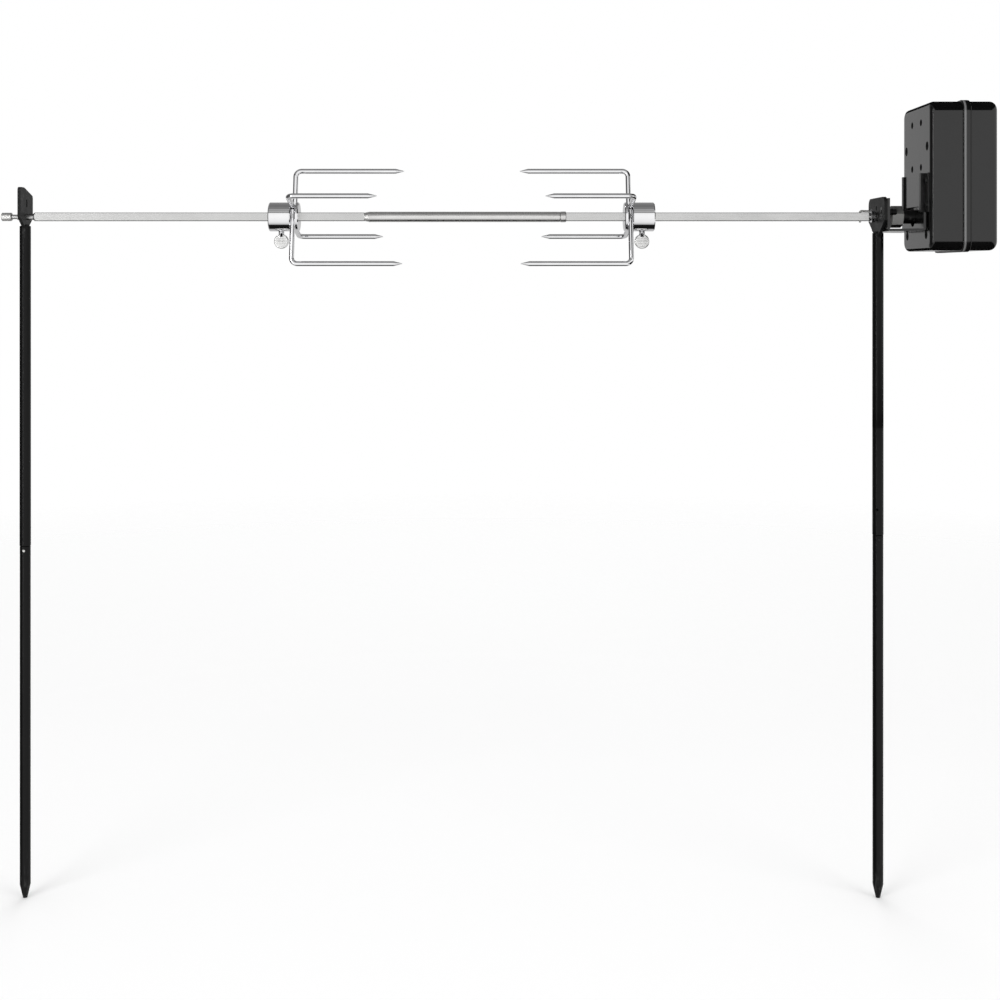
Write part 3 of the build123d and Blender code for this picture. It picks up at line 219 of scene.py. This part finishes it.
def brushed(name, colour, roughness, along=(0.02, 1, 1), scale=2400.0, depth=0.06, stain=0.08):
    """Drawn or turned steel: fine lines one way, faint cloudy staining."""
    mat, t, s = new_material(name)
    lines = t.noise(t.coords(along), scale, 2.0, 0.6)
    cloud = t.noise(t.coords(), 24.0, 5.0, 0.6)
    scuffs = t.spread(t.noise(t.coords((0.35, 1, 1), (0.3, 0.2, 0.5)), 330.0, 4.0, 0.72), 0.6, 0.72)
    dark = tuple(c * (1 - stain) for c in colour)
    tone = t.mix(t.spread(cloud, 0.38, 0.66), dark, colour)
    tone = t.mix(t.spread(lines, 0.3, 0.7, 0.0, 0.15), tone, tuple(c * 0.8 for c in colour))
    t.set(s, Base_Color=tone)
    s.inputs["Metallic"].default_value = 1.0
    rough = t.spread(lines, 0.3, 0.7, roughness * 0.8, roughness * 1.25)
    rough = t.math("ADD", rough, t.math("MULTIPLY", scuffs, 0.08))
    t.links.new(rough, s.inputs["Roughness"])
    t.links.new(t.bump(lines, depth, GRAIN), s.inputs["Normal"])
    return mat


def chrome(name, colour=(0.80, 0.80, 0.81), roughness=0.045):
    """Polished plate: nearly a mirror, with smears and hairline scratches."""
    mat, t, s = new_material(name)
    smear = t.noise(t.coords((1, 0.6, 0.6)), 60.0, 5.0, 0.62)
    hair = t.noise(t.coords((0.06, 1, 1), (0.2, 0.5, 0.1)), 3000.0, 2.0, 0.5)
    ripple = t.noise(t.coords(), 210.0, 2.0, 0.4)
    t.set(s, Base_Color=t.mix(t.spread(smear, 0.35, 0.7), tuple(c * 0.94 for c in colour), colour))
    s.inputs["Metallic"].default_value = 1.0
    t.links.new(t.spread(smear, 0.35, 0.75, roughness * 0.7, roughness * 2.2), s.inputs["Roughness"])
    normal = t.bump(hair, 0.05, HAIRLINE)
    t.links.new(t.bump(ripple, 0.03, RIPPLE, normal), s.inputs["Normal"])
    return mat


def moulded(name, base, roughness, grain=0.25, tint=(1, 1, 1)):
    """Injection-moulded plastic: fine spark-eroded grain, handling marks, faint dust."""
    mat, t, s = new_material(name)
    at = t.coords()
    fine = t.noise(at, 2600.0, 3.0, 0.6)
    broad = t.noise(at, 26.0, 5.0, 0.62)
    marks = t.spread(t.noise(t.coords((1, 0.25, 1), (0.4, 0.1, 0.8)), 190.0, 5.0, 0.75), 0.6, 0.74)
    low = tuple(base * 0.85 * c for c in tint)
    high = tuple(base * 1.2 * c for c in tint)
    t.set(s, Base_Color=t.mix(t.spread(broad, 0.35, 0.66), low, high))
    rough = t.spread(broad, 0.3, 0.7, roughness * 0.88, roughness * 1.14)
    rough = t.math("ADD", rough, t.math("MULTIPLY", marks, 0.06))
    t.links.new(rough, s.inputs["Roughness"])
    t.links.new(t.bump(fine, grain, GRAIN), s.inputs["Normal"])
    return mat


SHOULDER_GREY = 0.16


def shoulder_line(mat, edge_x):
    """Lightens a line along the bead's shoulder. It stands in for a highlight."""
    t = Tree(mat.node_tree)
    s = mat.node_tree.nodes["Principled BSDF"]
    split = t.add("ShaderNodeSeparateXYZ")
    t.links.new(t.coords(), split.inputs[0])
    past = t.math("SUBTRACT", split.outputs["X"], edge_x)
    rise = t.spread(past, 0.9 * MM, 1.4 * MM)
    fall = t.spread(past, 3.4 * MM, 2.4 * MM)
    colour = s.inputs["Base Color"].links[0].from_socket
    line = t.math("MULTIPLY", rise, fall)
    t.links.new(t.mix(line, colour, grey(SHOULDER_GREY)), s.inputs["Base Color"])
    return mat


def cast_metal(name, colour, roughness, pits=0.4):
    """Sintered, zinc-plated or oxide metal: pitted and cloudy."""
    mat, t, s = new_material(name)
    at = t.coords()
    cloud = t.noise(at, 120.0, 5.0, 0.65)
    fine = t.noise(at, 1700.0, 3.0, 0.6)
    t.set(s, Base_Color=t.mix(t.spread(cloud, 0.35, 0.65), tuple(c * 0.8 for c in colour), colour))
    s.inputs["Metallic"].default_value = 1.0
    t.links.new(t.spread(cloud, 0.3, 0.7, roughness * 0.8, roughness * 1.2), s.inputs["Roughness"])
    t.links.new(t.bump(fine, pits, GRAIN), s.inputs["Normal"])
    return mat


# the cells lie along Y, one each way, on either side of this height above the spit's axis
CELL_SPLIT = 70.9 * MM
CELL_WRAP_END = 29.3 * MM
CELL_BAND_START = 14.5 * MM


def cell_jacket(name):
    """Plain battery jacket: dark wrap, one bright band and steel ends."""
    mat, t, s = new_material(name)
    split = t.add("ShaderNodeSeparateXYZ")
    t.links.new(t.coords(), split.inputs[0])
    far = t.math("ABSOLUTE", split.outputs["Y"])
    steel = t.spread(far, CELL_WRAP_END, CELL_WRAP_END + 0.2 * MM)
    cloud = t.noise(t.coords(), 90.0, 3.0, 0.5)
    split_z = AXIS_Z + CELL_SPLIT
    upper = t.spread(split.outputs["Z"], split_z, split_z + 0.1 * MM)
    sign = t.math("SUBTRACT", t.math("MULTIPLY", upper, -2.0), -1.0)
    way = t.math("MULTIPLY", sign, split.outputs["Y"])
    band = t.spread(way, CELL_BAND_START, CELL_BAND_START + 0.3 * MM)
    wrap = t.mix(band, (0.02, 0.022, 0.03), (0.55, 0.30, 0.08))
    wrap = t.mix(t.spread(cloud, 0.3, 0.7, 0.0, 0.25), wrap, grey(0.09))
    t.set(s, Base_Color=t.mix(steel, wrap, grey(0.66)))
    t.links.new(t.math("MAXIMUM", steel, t.math("MULTIPLY", band, 0.8)), s.inputs["Metallic"])
    t.links.new(t.spread(cloud, 0.3, 0.7, 0.24, 0.36), s.inputs["Roughness"])
    return mat


STAKE = worn_paint("stake_paint", 0.002, 0.30, 0.32, peel=0.15, wear=0.0, specular=0.17, tip_z=TIP_Z)
PLATE = worn_paint("plate_paint", 0.008, 0.30, 0.52, wear=0.12, specular=0.2)
RAIL = worn_paint("rail_paint", 0.004, 0.30, 0.3, peel=0.15, wear=0.1, specular=0.3)
WELD = worn_paint("weld_paint", 0.008, 0.30, 0.5, peel=0.6, wear=0.1, specular=0.25)
# Housing screw heads: near black and almost without reflection. This is painted shade, so the recesses
# they sit in read dark.
SCREW_HEADS_PAINTED_SHADE = worn_paint("screw_heads_painted_shade", 0.003, 0.1, 0.6, wear=0.05, specular=0.04)
BOLT = worn_paint("bolt_black", 0.006, 0.40, 0.34, wear=0.3, specular=0.35)
BRACKET = moulded("bracket_paint", 0.005, 0.16, grain=0.05)
SPIT = brushed("spit_steel", (0.56, 0.56, 0.555), 0.24)
SLEEVE = brushed("sleeve_steel", (0.70, 0.695, 0.685), 0.30, along=(1, 0.02, 0.02), scale=1600.0)
NUT = brushed("nut_steel", (0.74, 0.735, 0.72), 0.34, along=(1, 0.05, 0.05))
ZINC = cast_metal("zinc_plate", (0.76, 0.76, 0.74), 0.55)
SCREW = cast_metal("screw_zinc", (0.7, 0.7, 0.68), 0.3, 0.2)
# Black oxide on the drive socket. On the front bush the same dark is painted shade, so the bracket's
# slot in front of it reads black.
OXIDE_AND_PAINTED_SHADE = worn_paint("black_oxide", 0.006, 0.4, 0.34, wear=0.2, specular=0.35)
CHROME = chrome("fork_chrome")
SHELL = moulded("housing_plastic", 0.0035, 0.12, grain=0.03)
COVER = moulded("cover_plastic", 0.005, 0.26, grain=0.2)
SEAL = moulded("seal_rubber", 0.004, 0.16, grain=0.05)
SEAL = shoulder_line(SEAL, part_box("housing_seal")[0].x)
SWITCH = moulded("switch_plastic", 0.010, 0.2, grain=0.1)
TRAY = moulded("tray_plastic", 0.05, 0.5, grain=0.5)
ACETAL = moulded("acetal", 0.72, 0.42, grain=0.2, tint=(1, 0.985, 0.93))
BRONZE = cast_metal("bronze", (0.58, 0.38, 0.18), 0.42, 0.6)
PLAIN_STEEL = brushed("plain_steel", (0.6, 0.6, 0.61), 0.34, along=(1, 1, 0.06), scale=1500.0)
CAN = brushed("can_steel", (0.66, 0.66, 0.67), 0.25, along=(1, 0.03, 0.03))
NICKEL = cast_metal("contact_nickel", (0.72, 0.7, 0.66), 0.25, 0.15)
LEAD = moulded("lead_insulation", 0.35, 0.4, grain=0.2, tint=(1, 0.08, 0.07))
CELL = cell_jacket("cell_jacket")

FINISH = {
    STAKE: ("left_stake_top", "right_stake_top", "left_stake_bottom", "right_stake_bottom"),
    PLATE: ("left_support_plate", "right_support_plate"),
    BRACKET: ("motor_bracket",),
    RAIL: ("guide_rails",),
    BOLT: ("rail_rivets", "right_joint_screw"),
    SCREW_HEADS_PAINTED_SHADE: ("housing_screws",),
    SHELL: ("front_shell", "rear_shell"),
    COVER: ("battery_cover",),
    SEAL: ("housing_seal",),
    SWITCH: ("switch_body", "switch_rocker"),
    TRAY: ("battery_tray",),
    CELL: ("battery_cells",),
    NICKEL: ("battery_contacts", "battery_springs"),
    LEAD: ("internal_leads",),
    ACETAL: ("output_gear", "compound_gear"),
    BRONZE: ("output_rear_bush", "drive_pinion"),
    PLAIN_STEEL: ("gear_plate", "gear_plate_posts", "compound_gear_axle"),
    CAN: ("reduction_gearbox", "motor_can"),
    SCREW: ("left_joint_screw",),
    SPIT: ("spit_left_bar", "spit_right_bar"),
    SLEEVE: ("spit_sleeve", "sleeve_lock_ring"),
    ZINC: ("drive_collar", "retaining_pin"),
    # The front bush is dark as painted shade; the rear bush keeps its bronze.
    OXIDE_AND_PAINTED_SHADE: ("drive_socket", "output_front_bush"),
    CHROME: ("stop_collar",),
}

def finish(name, material):
    materials = NODES[name].data.materials
    materials.clear()
    materials.append(material)


for material, names in FINISH.items():
    for name in names:
        finish(name, material)
for side in ("left", "right"):
    for piece in ("fork_hub", "long_prongs", "short_prongs", "fork_end_plate"):
        finish(f"{side}_{piece}", CHROME)


# ---- Mesh helpers ------------------------------------------------------------------------
SMOOTH_UNDER = math.radians(35)


def mesh_object(name, verts, faces, material):
    mesh = bpy.data.meshes.new(name)
    mesh.from_pydata([tuple(v) for v in verts], [], faces)
    mesh.validate()
    bm = bmesh.new()
    bm.from_mesh(mesh)
    bmesh.ops.recalc_face_normals(bm, faces=bm.faces)
    bm.to_mesh(mesh)
    bm.free()
    mesh.materials.append(material)
    obj = bpy.data.objects.new(name, mesh)
    scene.collection.objects.link(obj)
    for face in mesh.polygons:
        face.use_smooth = True
    bpy.context.view_layer.objects.active = obj
    obj.select_set(True)
    bpy.ops.object.shade_auto_smooth(angle=SMOOTH_UNDER)
    obj.select_set(False)
    return obj


def ring_quads(rows, around):
    """The quads between each ring of points and the next."""
    faces = []
    for i in range(rows):
        here = i * around
        there = here + around
        for k in range(around):
            n = (k + 1) % around
            faces.append((here + k, here + n, there + n, there + k))
    return faces


def turned(name, rings, material, frame_of, radius_at, segments=48):
    """A closed solid of revolution. rings: (station, radius); radius_at shapes each point."""
    verts = []
    for station, radius in rings:
        for k in range(segments):
            turn = 2 * math.pi * k / segments
            r = radius_at(station, turn, radius)
            verts.append(frame_of(station, r * math.cos(turn), r * math.sin(turn)))
    faces = ring_quads(len(rings) - 1, segments)
    faces.append(tuple(range(segments))[::-1])
    last = (len(rings) - 1) * segments
    faces.append(tuple(last + k for k in range(segments)))
    return mesh_object(name, verts, faces, material)


def stations(start, end, count):
    return [start + (end - start) * i / count for i in range(count + 1)]


def triangle(phase):
    """Triangle wave from 0 to 1 and back, once for each unit of phase."""
    part = phase % 1.0
    return 2 * part if part < 0.5 else 2 - 2 * part


# ---- Knurled end nut ---------------------------------------------------------------------
def knurled_nut():
    low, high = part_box("end_nut")
    x0, x1 = low.x, high.x
    radius = (high.z - low.z) / 2
    bevel = 0.6 * MM
    teeth = 24
    knurl_depth = 0.2 * MM

    def along_x(station, a, b):
        return (station, a, AXIS_Z + b)

    def knurl(station, turn, r):
        if r < radius - 0.02 * MM or not x0 + bevel < station < x1 - bevel:
            return r
        helix = (station - x0) / (0.9 * MM)
        one = triangle(turn * teeth / (2 * math.pi) + helix)
        two = triangle(turn * teeth / (2 * math.pi) - helix)
        return r - knurl_depth * (1 - min(one, two))

    bore = 2.25 * MM
    floor = x1 - 8.0 * MM
    rings = [(x0, 0.6 * MM), (x0, radius - bevel), (x0 + bevel, radius)]
    rings += [(s, radius) for s in stations(x0 + 1.05 * bevel, x1 - 1.05 * bevel, 44)]
    rings += [(x1 - bevel, radius), (x1, radius - bevel), (x1, bore), (floor, bore), (floor, 0.4 * MM)]
    nut = turned("knurled_end_nut", rings, NUT, along_x, knurl, segments=192)
    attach(nut, "nut")
    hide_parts("end_nut")


knurled_nut()


# ---- Ribbed thumb screws -----------------------------------------------------------------
THREAD_PITCH = 1.0 * MM


def thumb_screw(side):
    low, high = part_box(f"{side}_thumb_screw")
    x = (low.x + high.x) / 2
    paddle_r = (high.x - low.x) / 2
    centre_z = low.z + paddle_r
    thick = 2.2 * MM
    rib_height = 0.34 * MM
    rib_pitch = 1.5 * MM
    rim = 0.9
    verts = []

    def face_depth(dx, dz):
        """Half thickness of the paddle at a point, ribbed across."""
        out = math.hypot(dx, dz) / paddle_r
        rib = rib_height * triangle(dz / rib_pitch) if out < rim else 0.0
        dome = thick * (1 - 0.10 * out ** 2)
        if out > rim:
            dome -= thick * 0.55 * ((out - rim) / 0.1) ** 2
        return dome - rib_height + rib * min(1.0, max(0.0, (rim - out) / 0.06))

    grid = {}
    rings = 26
    spokes = 96
    for sign in (1, -1):
        verts.append((x, sign * face_depth(0, 0), centre_z))
        grid[sign, 0, 0] = len(verts) - 1
        for i in range(1, rings + 1):
            for k in range(spokes):
                turn = 2 * math.pi * k / spokes
                r = paddle_r * (i / rings) ** 0.8
                dx, dz = r * math.cos(turn), r * math.sin(turn)
                grid[sign, i, k] = len(verts)
                verts.append((x + dx, sign * face_depth(dx, dz), centre_z + dz))
    faces = []
    for sign in (1, -1):
        for k in range(spokes):
            n = (k + 1) % spokes
            faces.append((grid[sign, 0, 0], grid[sign, 1, k], grid[sign, 1, n]))
            for i in range(1, rings):
                inner = (grid[sign, i, k], grid[sign, i, n])
                outer = (grid[sign, i + 1, k], grid[sign, i + 1, n])
                faces.append((inner[0], outer[0], outer[1], inner[1]))
    for k in range(spokes):
        n = (k + 1) % spokes
        faces.append((grid[1, rings, k], grid[-1, rings, k], grid[-1, rings, n], grid[1, rings, n]))
    paddle = mesh_object(f"{side}_thumb_paddle", verts, faces, PADDLE)

    top = high.z
    neck = centre_z + paddle_r * 0.6
    thread_low = centre_z + paddle_r + 0.9 * MM
    stem_r = 2.9 * MM

    def down(station, a, b):
        return (x + a, b, station)

    def threaded(station, turn, r):
        if not thread_low < station < top - 0.8 * MM:
            return r
        return r - 0.42 * MM * (1 - triangle(station / THREAD_PITCH + turn / (2 * math.pi)))

    rings = [(top, 1.8 * MM), (top - 0.8 * MM, stem_r)]
    rings += [(s, stem_r) for s in stations(top - 0.85 * MM, thread_low, 120)]
    rings += [(thread_low - 0.1 * MM, stem_r * 0.9), (neck, stem_r * 0.9)]
    stem = turned(f"{side}_thumb_stem", rings, CHROME, down, threaded)
    for piece in (paddle, stem):
        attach(piece, f"{side}_fork_screw")
    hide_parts(f"{side}_thumb_screw")


PADDLE = cast_metal("paddle_nickel", (0.88, 0.88, 0.87), 0.32, 0.2)
for side in ("left", "right"):
    thumb_screw(side)


# ---- Weld beads --------------------------------------------------------------------------
def weld_bead(name, centre, half_length, radius):
    """A rippled bead along Y, pulled down at its two ends."""
    verts = []
    steps = 72
    around = 24
    for i in range(steps + 1):
        s = -half_length + 2 * half_length * i / steps
        end = min(1.0, (1 - abs(s) / half_length) * 3.0)
        size = radius * (0.25 + 0.75 * math.sqrt(max(0.0, end * (2 - end))))
        size *= 0.93 + 0.07 * math.sin(s / (0.42 * MM) * 2)
        wave = 0.10 * MM * math.sin(s * 900.0 + centre.x)
        for k in range(around):
            turn = 2 * math.pi * k / around
            x = centre.x + wave + size * math.cos(turn)
            verts.append((x, centre.y + s, centre.z + size * math.sin(turn)))
    faces = [tuple(range(around))[::-1]]
    faces += ring_quads(steps, around)
    faces.append(tuple(steps * around + k for k in range(around)))
    return mesh_object(name, verts, faces, WELD)


WELD_HALF_LENGTH = 3.75 * MM
WELD_RADIUS = 1.38 * MM
WELD_OFF_PLATE = 0.3 * MM


def weld_beads():
    beads = []
    for side in ("left", "right"):
        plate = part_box(f"{side}_support_plate")
        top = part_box(f"{side}_stake_top")[1].z
        outer = plate[0].x - WELD_OFF_PLATE
        inner = plate[1].x + WELD_OFF_PLATE
        for face, x in (("outer", outer), ("inner", inner)):
            centre = Vector((x, 0, top))
            bead = weld_bead(f"{side}_{face}_weld", centre, WELD_HALF_LENGTH, WELD_RADIUS)
            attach(bead, "stand")
            beads.append(bead)
    for bead in beads:
        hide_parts("plate_welds")


weld_beads()


# ---- Bracket bolts -----------------------------------------------------------------------
def bracket_bolts():
    low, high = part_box("bracket_bolts")
    head_r = 5.0 * MM
    radius = 3.0 * MM
    socket_r = 2.0 * MM
    z = low.z + head_r
    head_x = low.x
    seat_x = head_x + 2.0 * MM
    tip_x = high.x
    for label, y in (("near", low.y + head_r), ("far", high.y - head_r)):

        def along_x(station, a, b, y=y):
            return (station, y + a, z + b)

        def threaded(station, turn, r):
            if station < seat_x + 4.0 * MM or station > tip_x - 0.7 * MM:
                if r > 2.5 * MM or station > seat_x:
                    return r
                side = (turn + math.pi / 6) % (math.pi / 3) - math.pi / 6
                return r / math.cos(side)
            return r - 0.5 * MM * (1 - triangle(station / THREAD_PITCH - turn / (2 * math.pi)))

        edge_r = head_r - 0.12 * MM
        rings = [
            (seat_x, 0.3 * MM), (seat_x - 0.2 * MM, socket_r), (head_x, socket_r),
            (head_x, edge_r), (head_x + 0.12 * MM, edge_r), (seat_x + 0.02 * MM, radius),
        ]
        rings += [(s, radius) for s in stations(seat_x + 0.3 * MM, tip_x - 0.7 * MM, 110)]
        rings += [(tip_x, radius - 0.7 * MM)]
        bolt = turned(f"{label}_bracket_bolt", rings, BOLT, along_x, threaded, segments=72)
        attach(bolt, "stand")
        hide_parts("bracket_bolts")


bracket_bolts()


# ---- Studio ------------------------------------------------------------------------------
# what glossy rays meet at each elevation: (degrees, brightness)
ROOM_RAMP = (
    (-90, 0.01), (-68, 0.01), (-62, 0.6), (-45, 0.92), (-12, 0.98), (10, 1.0), (28, 0.95),
    (29.8, 0.08), (32, 0.08), (34.5, 0.5), (50, 0.32), (56, 0.46), (66, 0.22), (75, 0.26),
    (90, 0.18),
)


def room_world():
    """White to the camera; to glossy rays a room of bands, uneven with direction; else even grey."""
    world = bpy.data.worlds.new("studio")
    scene.world = world
    world.use_nodes = True
    t = Tree(world.node_tree)
    t.nodes.clear()
    out = t.add("ShaderNodeOutputWorld")
    where = t.add("ShaderNodeTexCoord")
    split = t.add("ShaderNodeSeparateXYZ")
    t.links.new(where.outputs["Generated"], split.inputs[0])
    height = t.math("ARCSINE", split.outputs["Z"])
    ramp = t.add("ShaderNodeValToRGB")
    ramp.color_ramp.interpolation = "LINEAR"
    t.links.new(t.spread(height, -math.pi / 2, math.pi / 2), ramp.inputs["Fac"])
    elements = ramp.color_ramp.elements
    while len(elements) > 1:
        elements.remove(elements[-1])
    for i, (angle, value) in enumerate(ROOM_RAMP):
        position = (angle + 90) / 180
        element = elements[0] if i == 0 else elements.new(position)
        element.position = position
        element.color = (value, value, value, 1)
    path = t.add("ShaderNodeLightPath")
    seen = t.add("ShaderNodeBackground")
    seen.inputs["Color"].default_value = (1, 1, 1, 1)
    seen.inputs["Strength"].default_value = 1.0
    soft = t.add("ShaderNodeBackground")
    soft.inputs["Color"].default_value = (1, 1, 1, 1)
    soft.inputs["Strength"].default_value = 0.75
    room = t.add("ShaderNodeBackground")
    t.links.new(ramp.outputs["Color"], room.inputs["Color"])
    front_to_back = t.spread(split.outputs["Y"], -1.0, 1.0, 1.2, 0.6)
    dark_left = t.spread(split.outputs["X"], -0.85, -0.5, 0.12, 1.0)
    t.links.new(t.math("MULTIPLY", front_to_back, dark_left), room.inputs["Strength"])
    first = t.add("ShaderNodeMixShader")
    t.links.new(path.outputs["Is Glossy Ray"], first.inputs[0])
    t.links.new(soft.outputs[0], first.inputs[1])
    t.links.new(room.outputs[0], first.inputs[2])
    second = t.add("ShaderNodeMixShader")
    t.links.new(path.outputs["Is Camera Ray"], second.inputs[0])
    t.links.new(first.outputs[0], second.inputs[1])
    t.links.new(seen.outputs[0], second.inputs[2])
    t.links.new(second.outputs[0], out.inputs["Surface"])


def lamps():
    target = Vector((0.43, 0, 0.3))
    for name, where_at, size, power in (
        ("key", (-1.2, -2.2, 2.6), 1.6, 30.0),
        ("fill", (2.4, -1.8, 1.8), 1.8, 18.0),
        ("back", (0.4, 2.4, 2.4), 2.0, 18.0),
    ):
        light = bpy.data.lights.new(name, "AREA")
        light.shape = "DISK"
        light.size = size
        light.energy = power
        lamp = bpy.data.objects.new(name, light)
        lamp.location = where_at
        lamp.rotation_euler = (target - Vector(where_at)).to_track_quat("-Z", "Y").to_euler()
        lamp.visible_glossy = False
        scene.collection.objects.link(lamp)


def reflection_cards():
    """Seen by glossy rays only: black over and under the drive, a bright strip far to its left."""
    for name, centre, half, strength in (
        ("upper_flag", (0.96, 0.0, AXIS_Z + 0.26), (0.24, 0.9, 0.0), 0.0),
        ("lower_flag", (0.96, 0.0, AXIS_Z - 0.20), (0.24, 0.9, 0.0), 0.0),
        ("strip", (-0.9, -1.5, AXIS_Z), (0.06, 0.0, 0.8), 12.0),
    ):
        a, b, c = half
        if b:
            corners = [(-a, -b, 0), (a, -b, 0), (a, b, 0), (-a, b, 0)]
        else:
            corners = [(-a, 0, -c), (a, 0, -c), (a, 0, c), (-a, 0, c)]
        mesh = bpy.data.meshes.new(name)
        mesh.from_pydata(corners, [], [(0, 1, 2, 3)])
        card = bpy.data.objects.new(name, mesh)
        card.location = centre
        if c:
            card.rotation_euler = (0, 0, math.radians(-50))
        for ray in ("camera", "diffuse", "shadow", "transmission", "volume_scatter"):
            setattr(card, f"visible_{ray}", False)
        scene.collection.objects.link(card)
        mat = bpy.data.materials.new(name)
        mat.use_nodes = True
        g = Tree(mat.node_tree)
        g.nodes.clear()
        out = g.add("ShaderNodeOutputMaterial")
        glow = g.add("ShaderNodeEmission")
        glow.inputs["Strength"].default_value = strength
        g.links.new(glow.outputs[0], out.inputs["Surface"])
        mesh.materials.append(mat)


FLOOR_GAP = 0.4 * MM


def pale_floor():
    """Pale where the stakes stand, fading into the white room, and unseen by glossy rays."""
    mesh = bpy.data.meshes.new("floor")
    size = 6.0
    corners = [(-size, -size, 0), (size, -size, 0), (size, size, 0), (-size, size, 0)]
    mesh.from_pydata(corners, [], [(0, 1, 2, 3)])
    floor = bpy.data.objects.new("floor", mesh)
    floor.location = (0.43, 0, TIP_Z - FLOOR_GAP)
    scene.collection.objects.link(floor)
    mat = bpy.data.materials.new("floor")
    mat.use_nodes = True
    f = Tree(mat.node_tree)
    f.nodes.clear()
    out = f.add("ShaderNodeOutputMaterial")
    pale = f.add("ShaderNodeBsdfDiffuse")
    pale.inputs["Color"].default_value = (0.93, 0.93, 0.93, 1)
    clear = f.add("ShaderNodeBsdfTransparent")
    length = f.add("ShaderNodeVectorMath", operation="LENGTH")
    f.links.new(f.add("ShaderNodeTexCoord").outputs["Object"], length.inputs[0])
    away = f.spread(length.outputs["Value"], 0.9, 2.6)
    path = f.add("ShaderNodeLightPath")
    gone = f.math("MAXIMUM", away, path.outputs["Is Glossy Ray"])
    blend = f.add("ShaderNodeMixShader")
    f.links.new(gone, blend.inputs[0])
    f.links.new(pale.outputs[0], blend.inputs[1])
    f.links.new(clear.outputs[0], blend.inputs[2])
    f.links.new(blend.outputs[0], out.inputs["Surface"])
    mesh.materials.append(mat)


room_world()
lamps()
reflection_cards()
pale_floor()
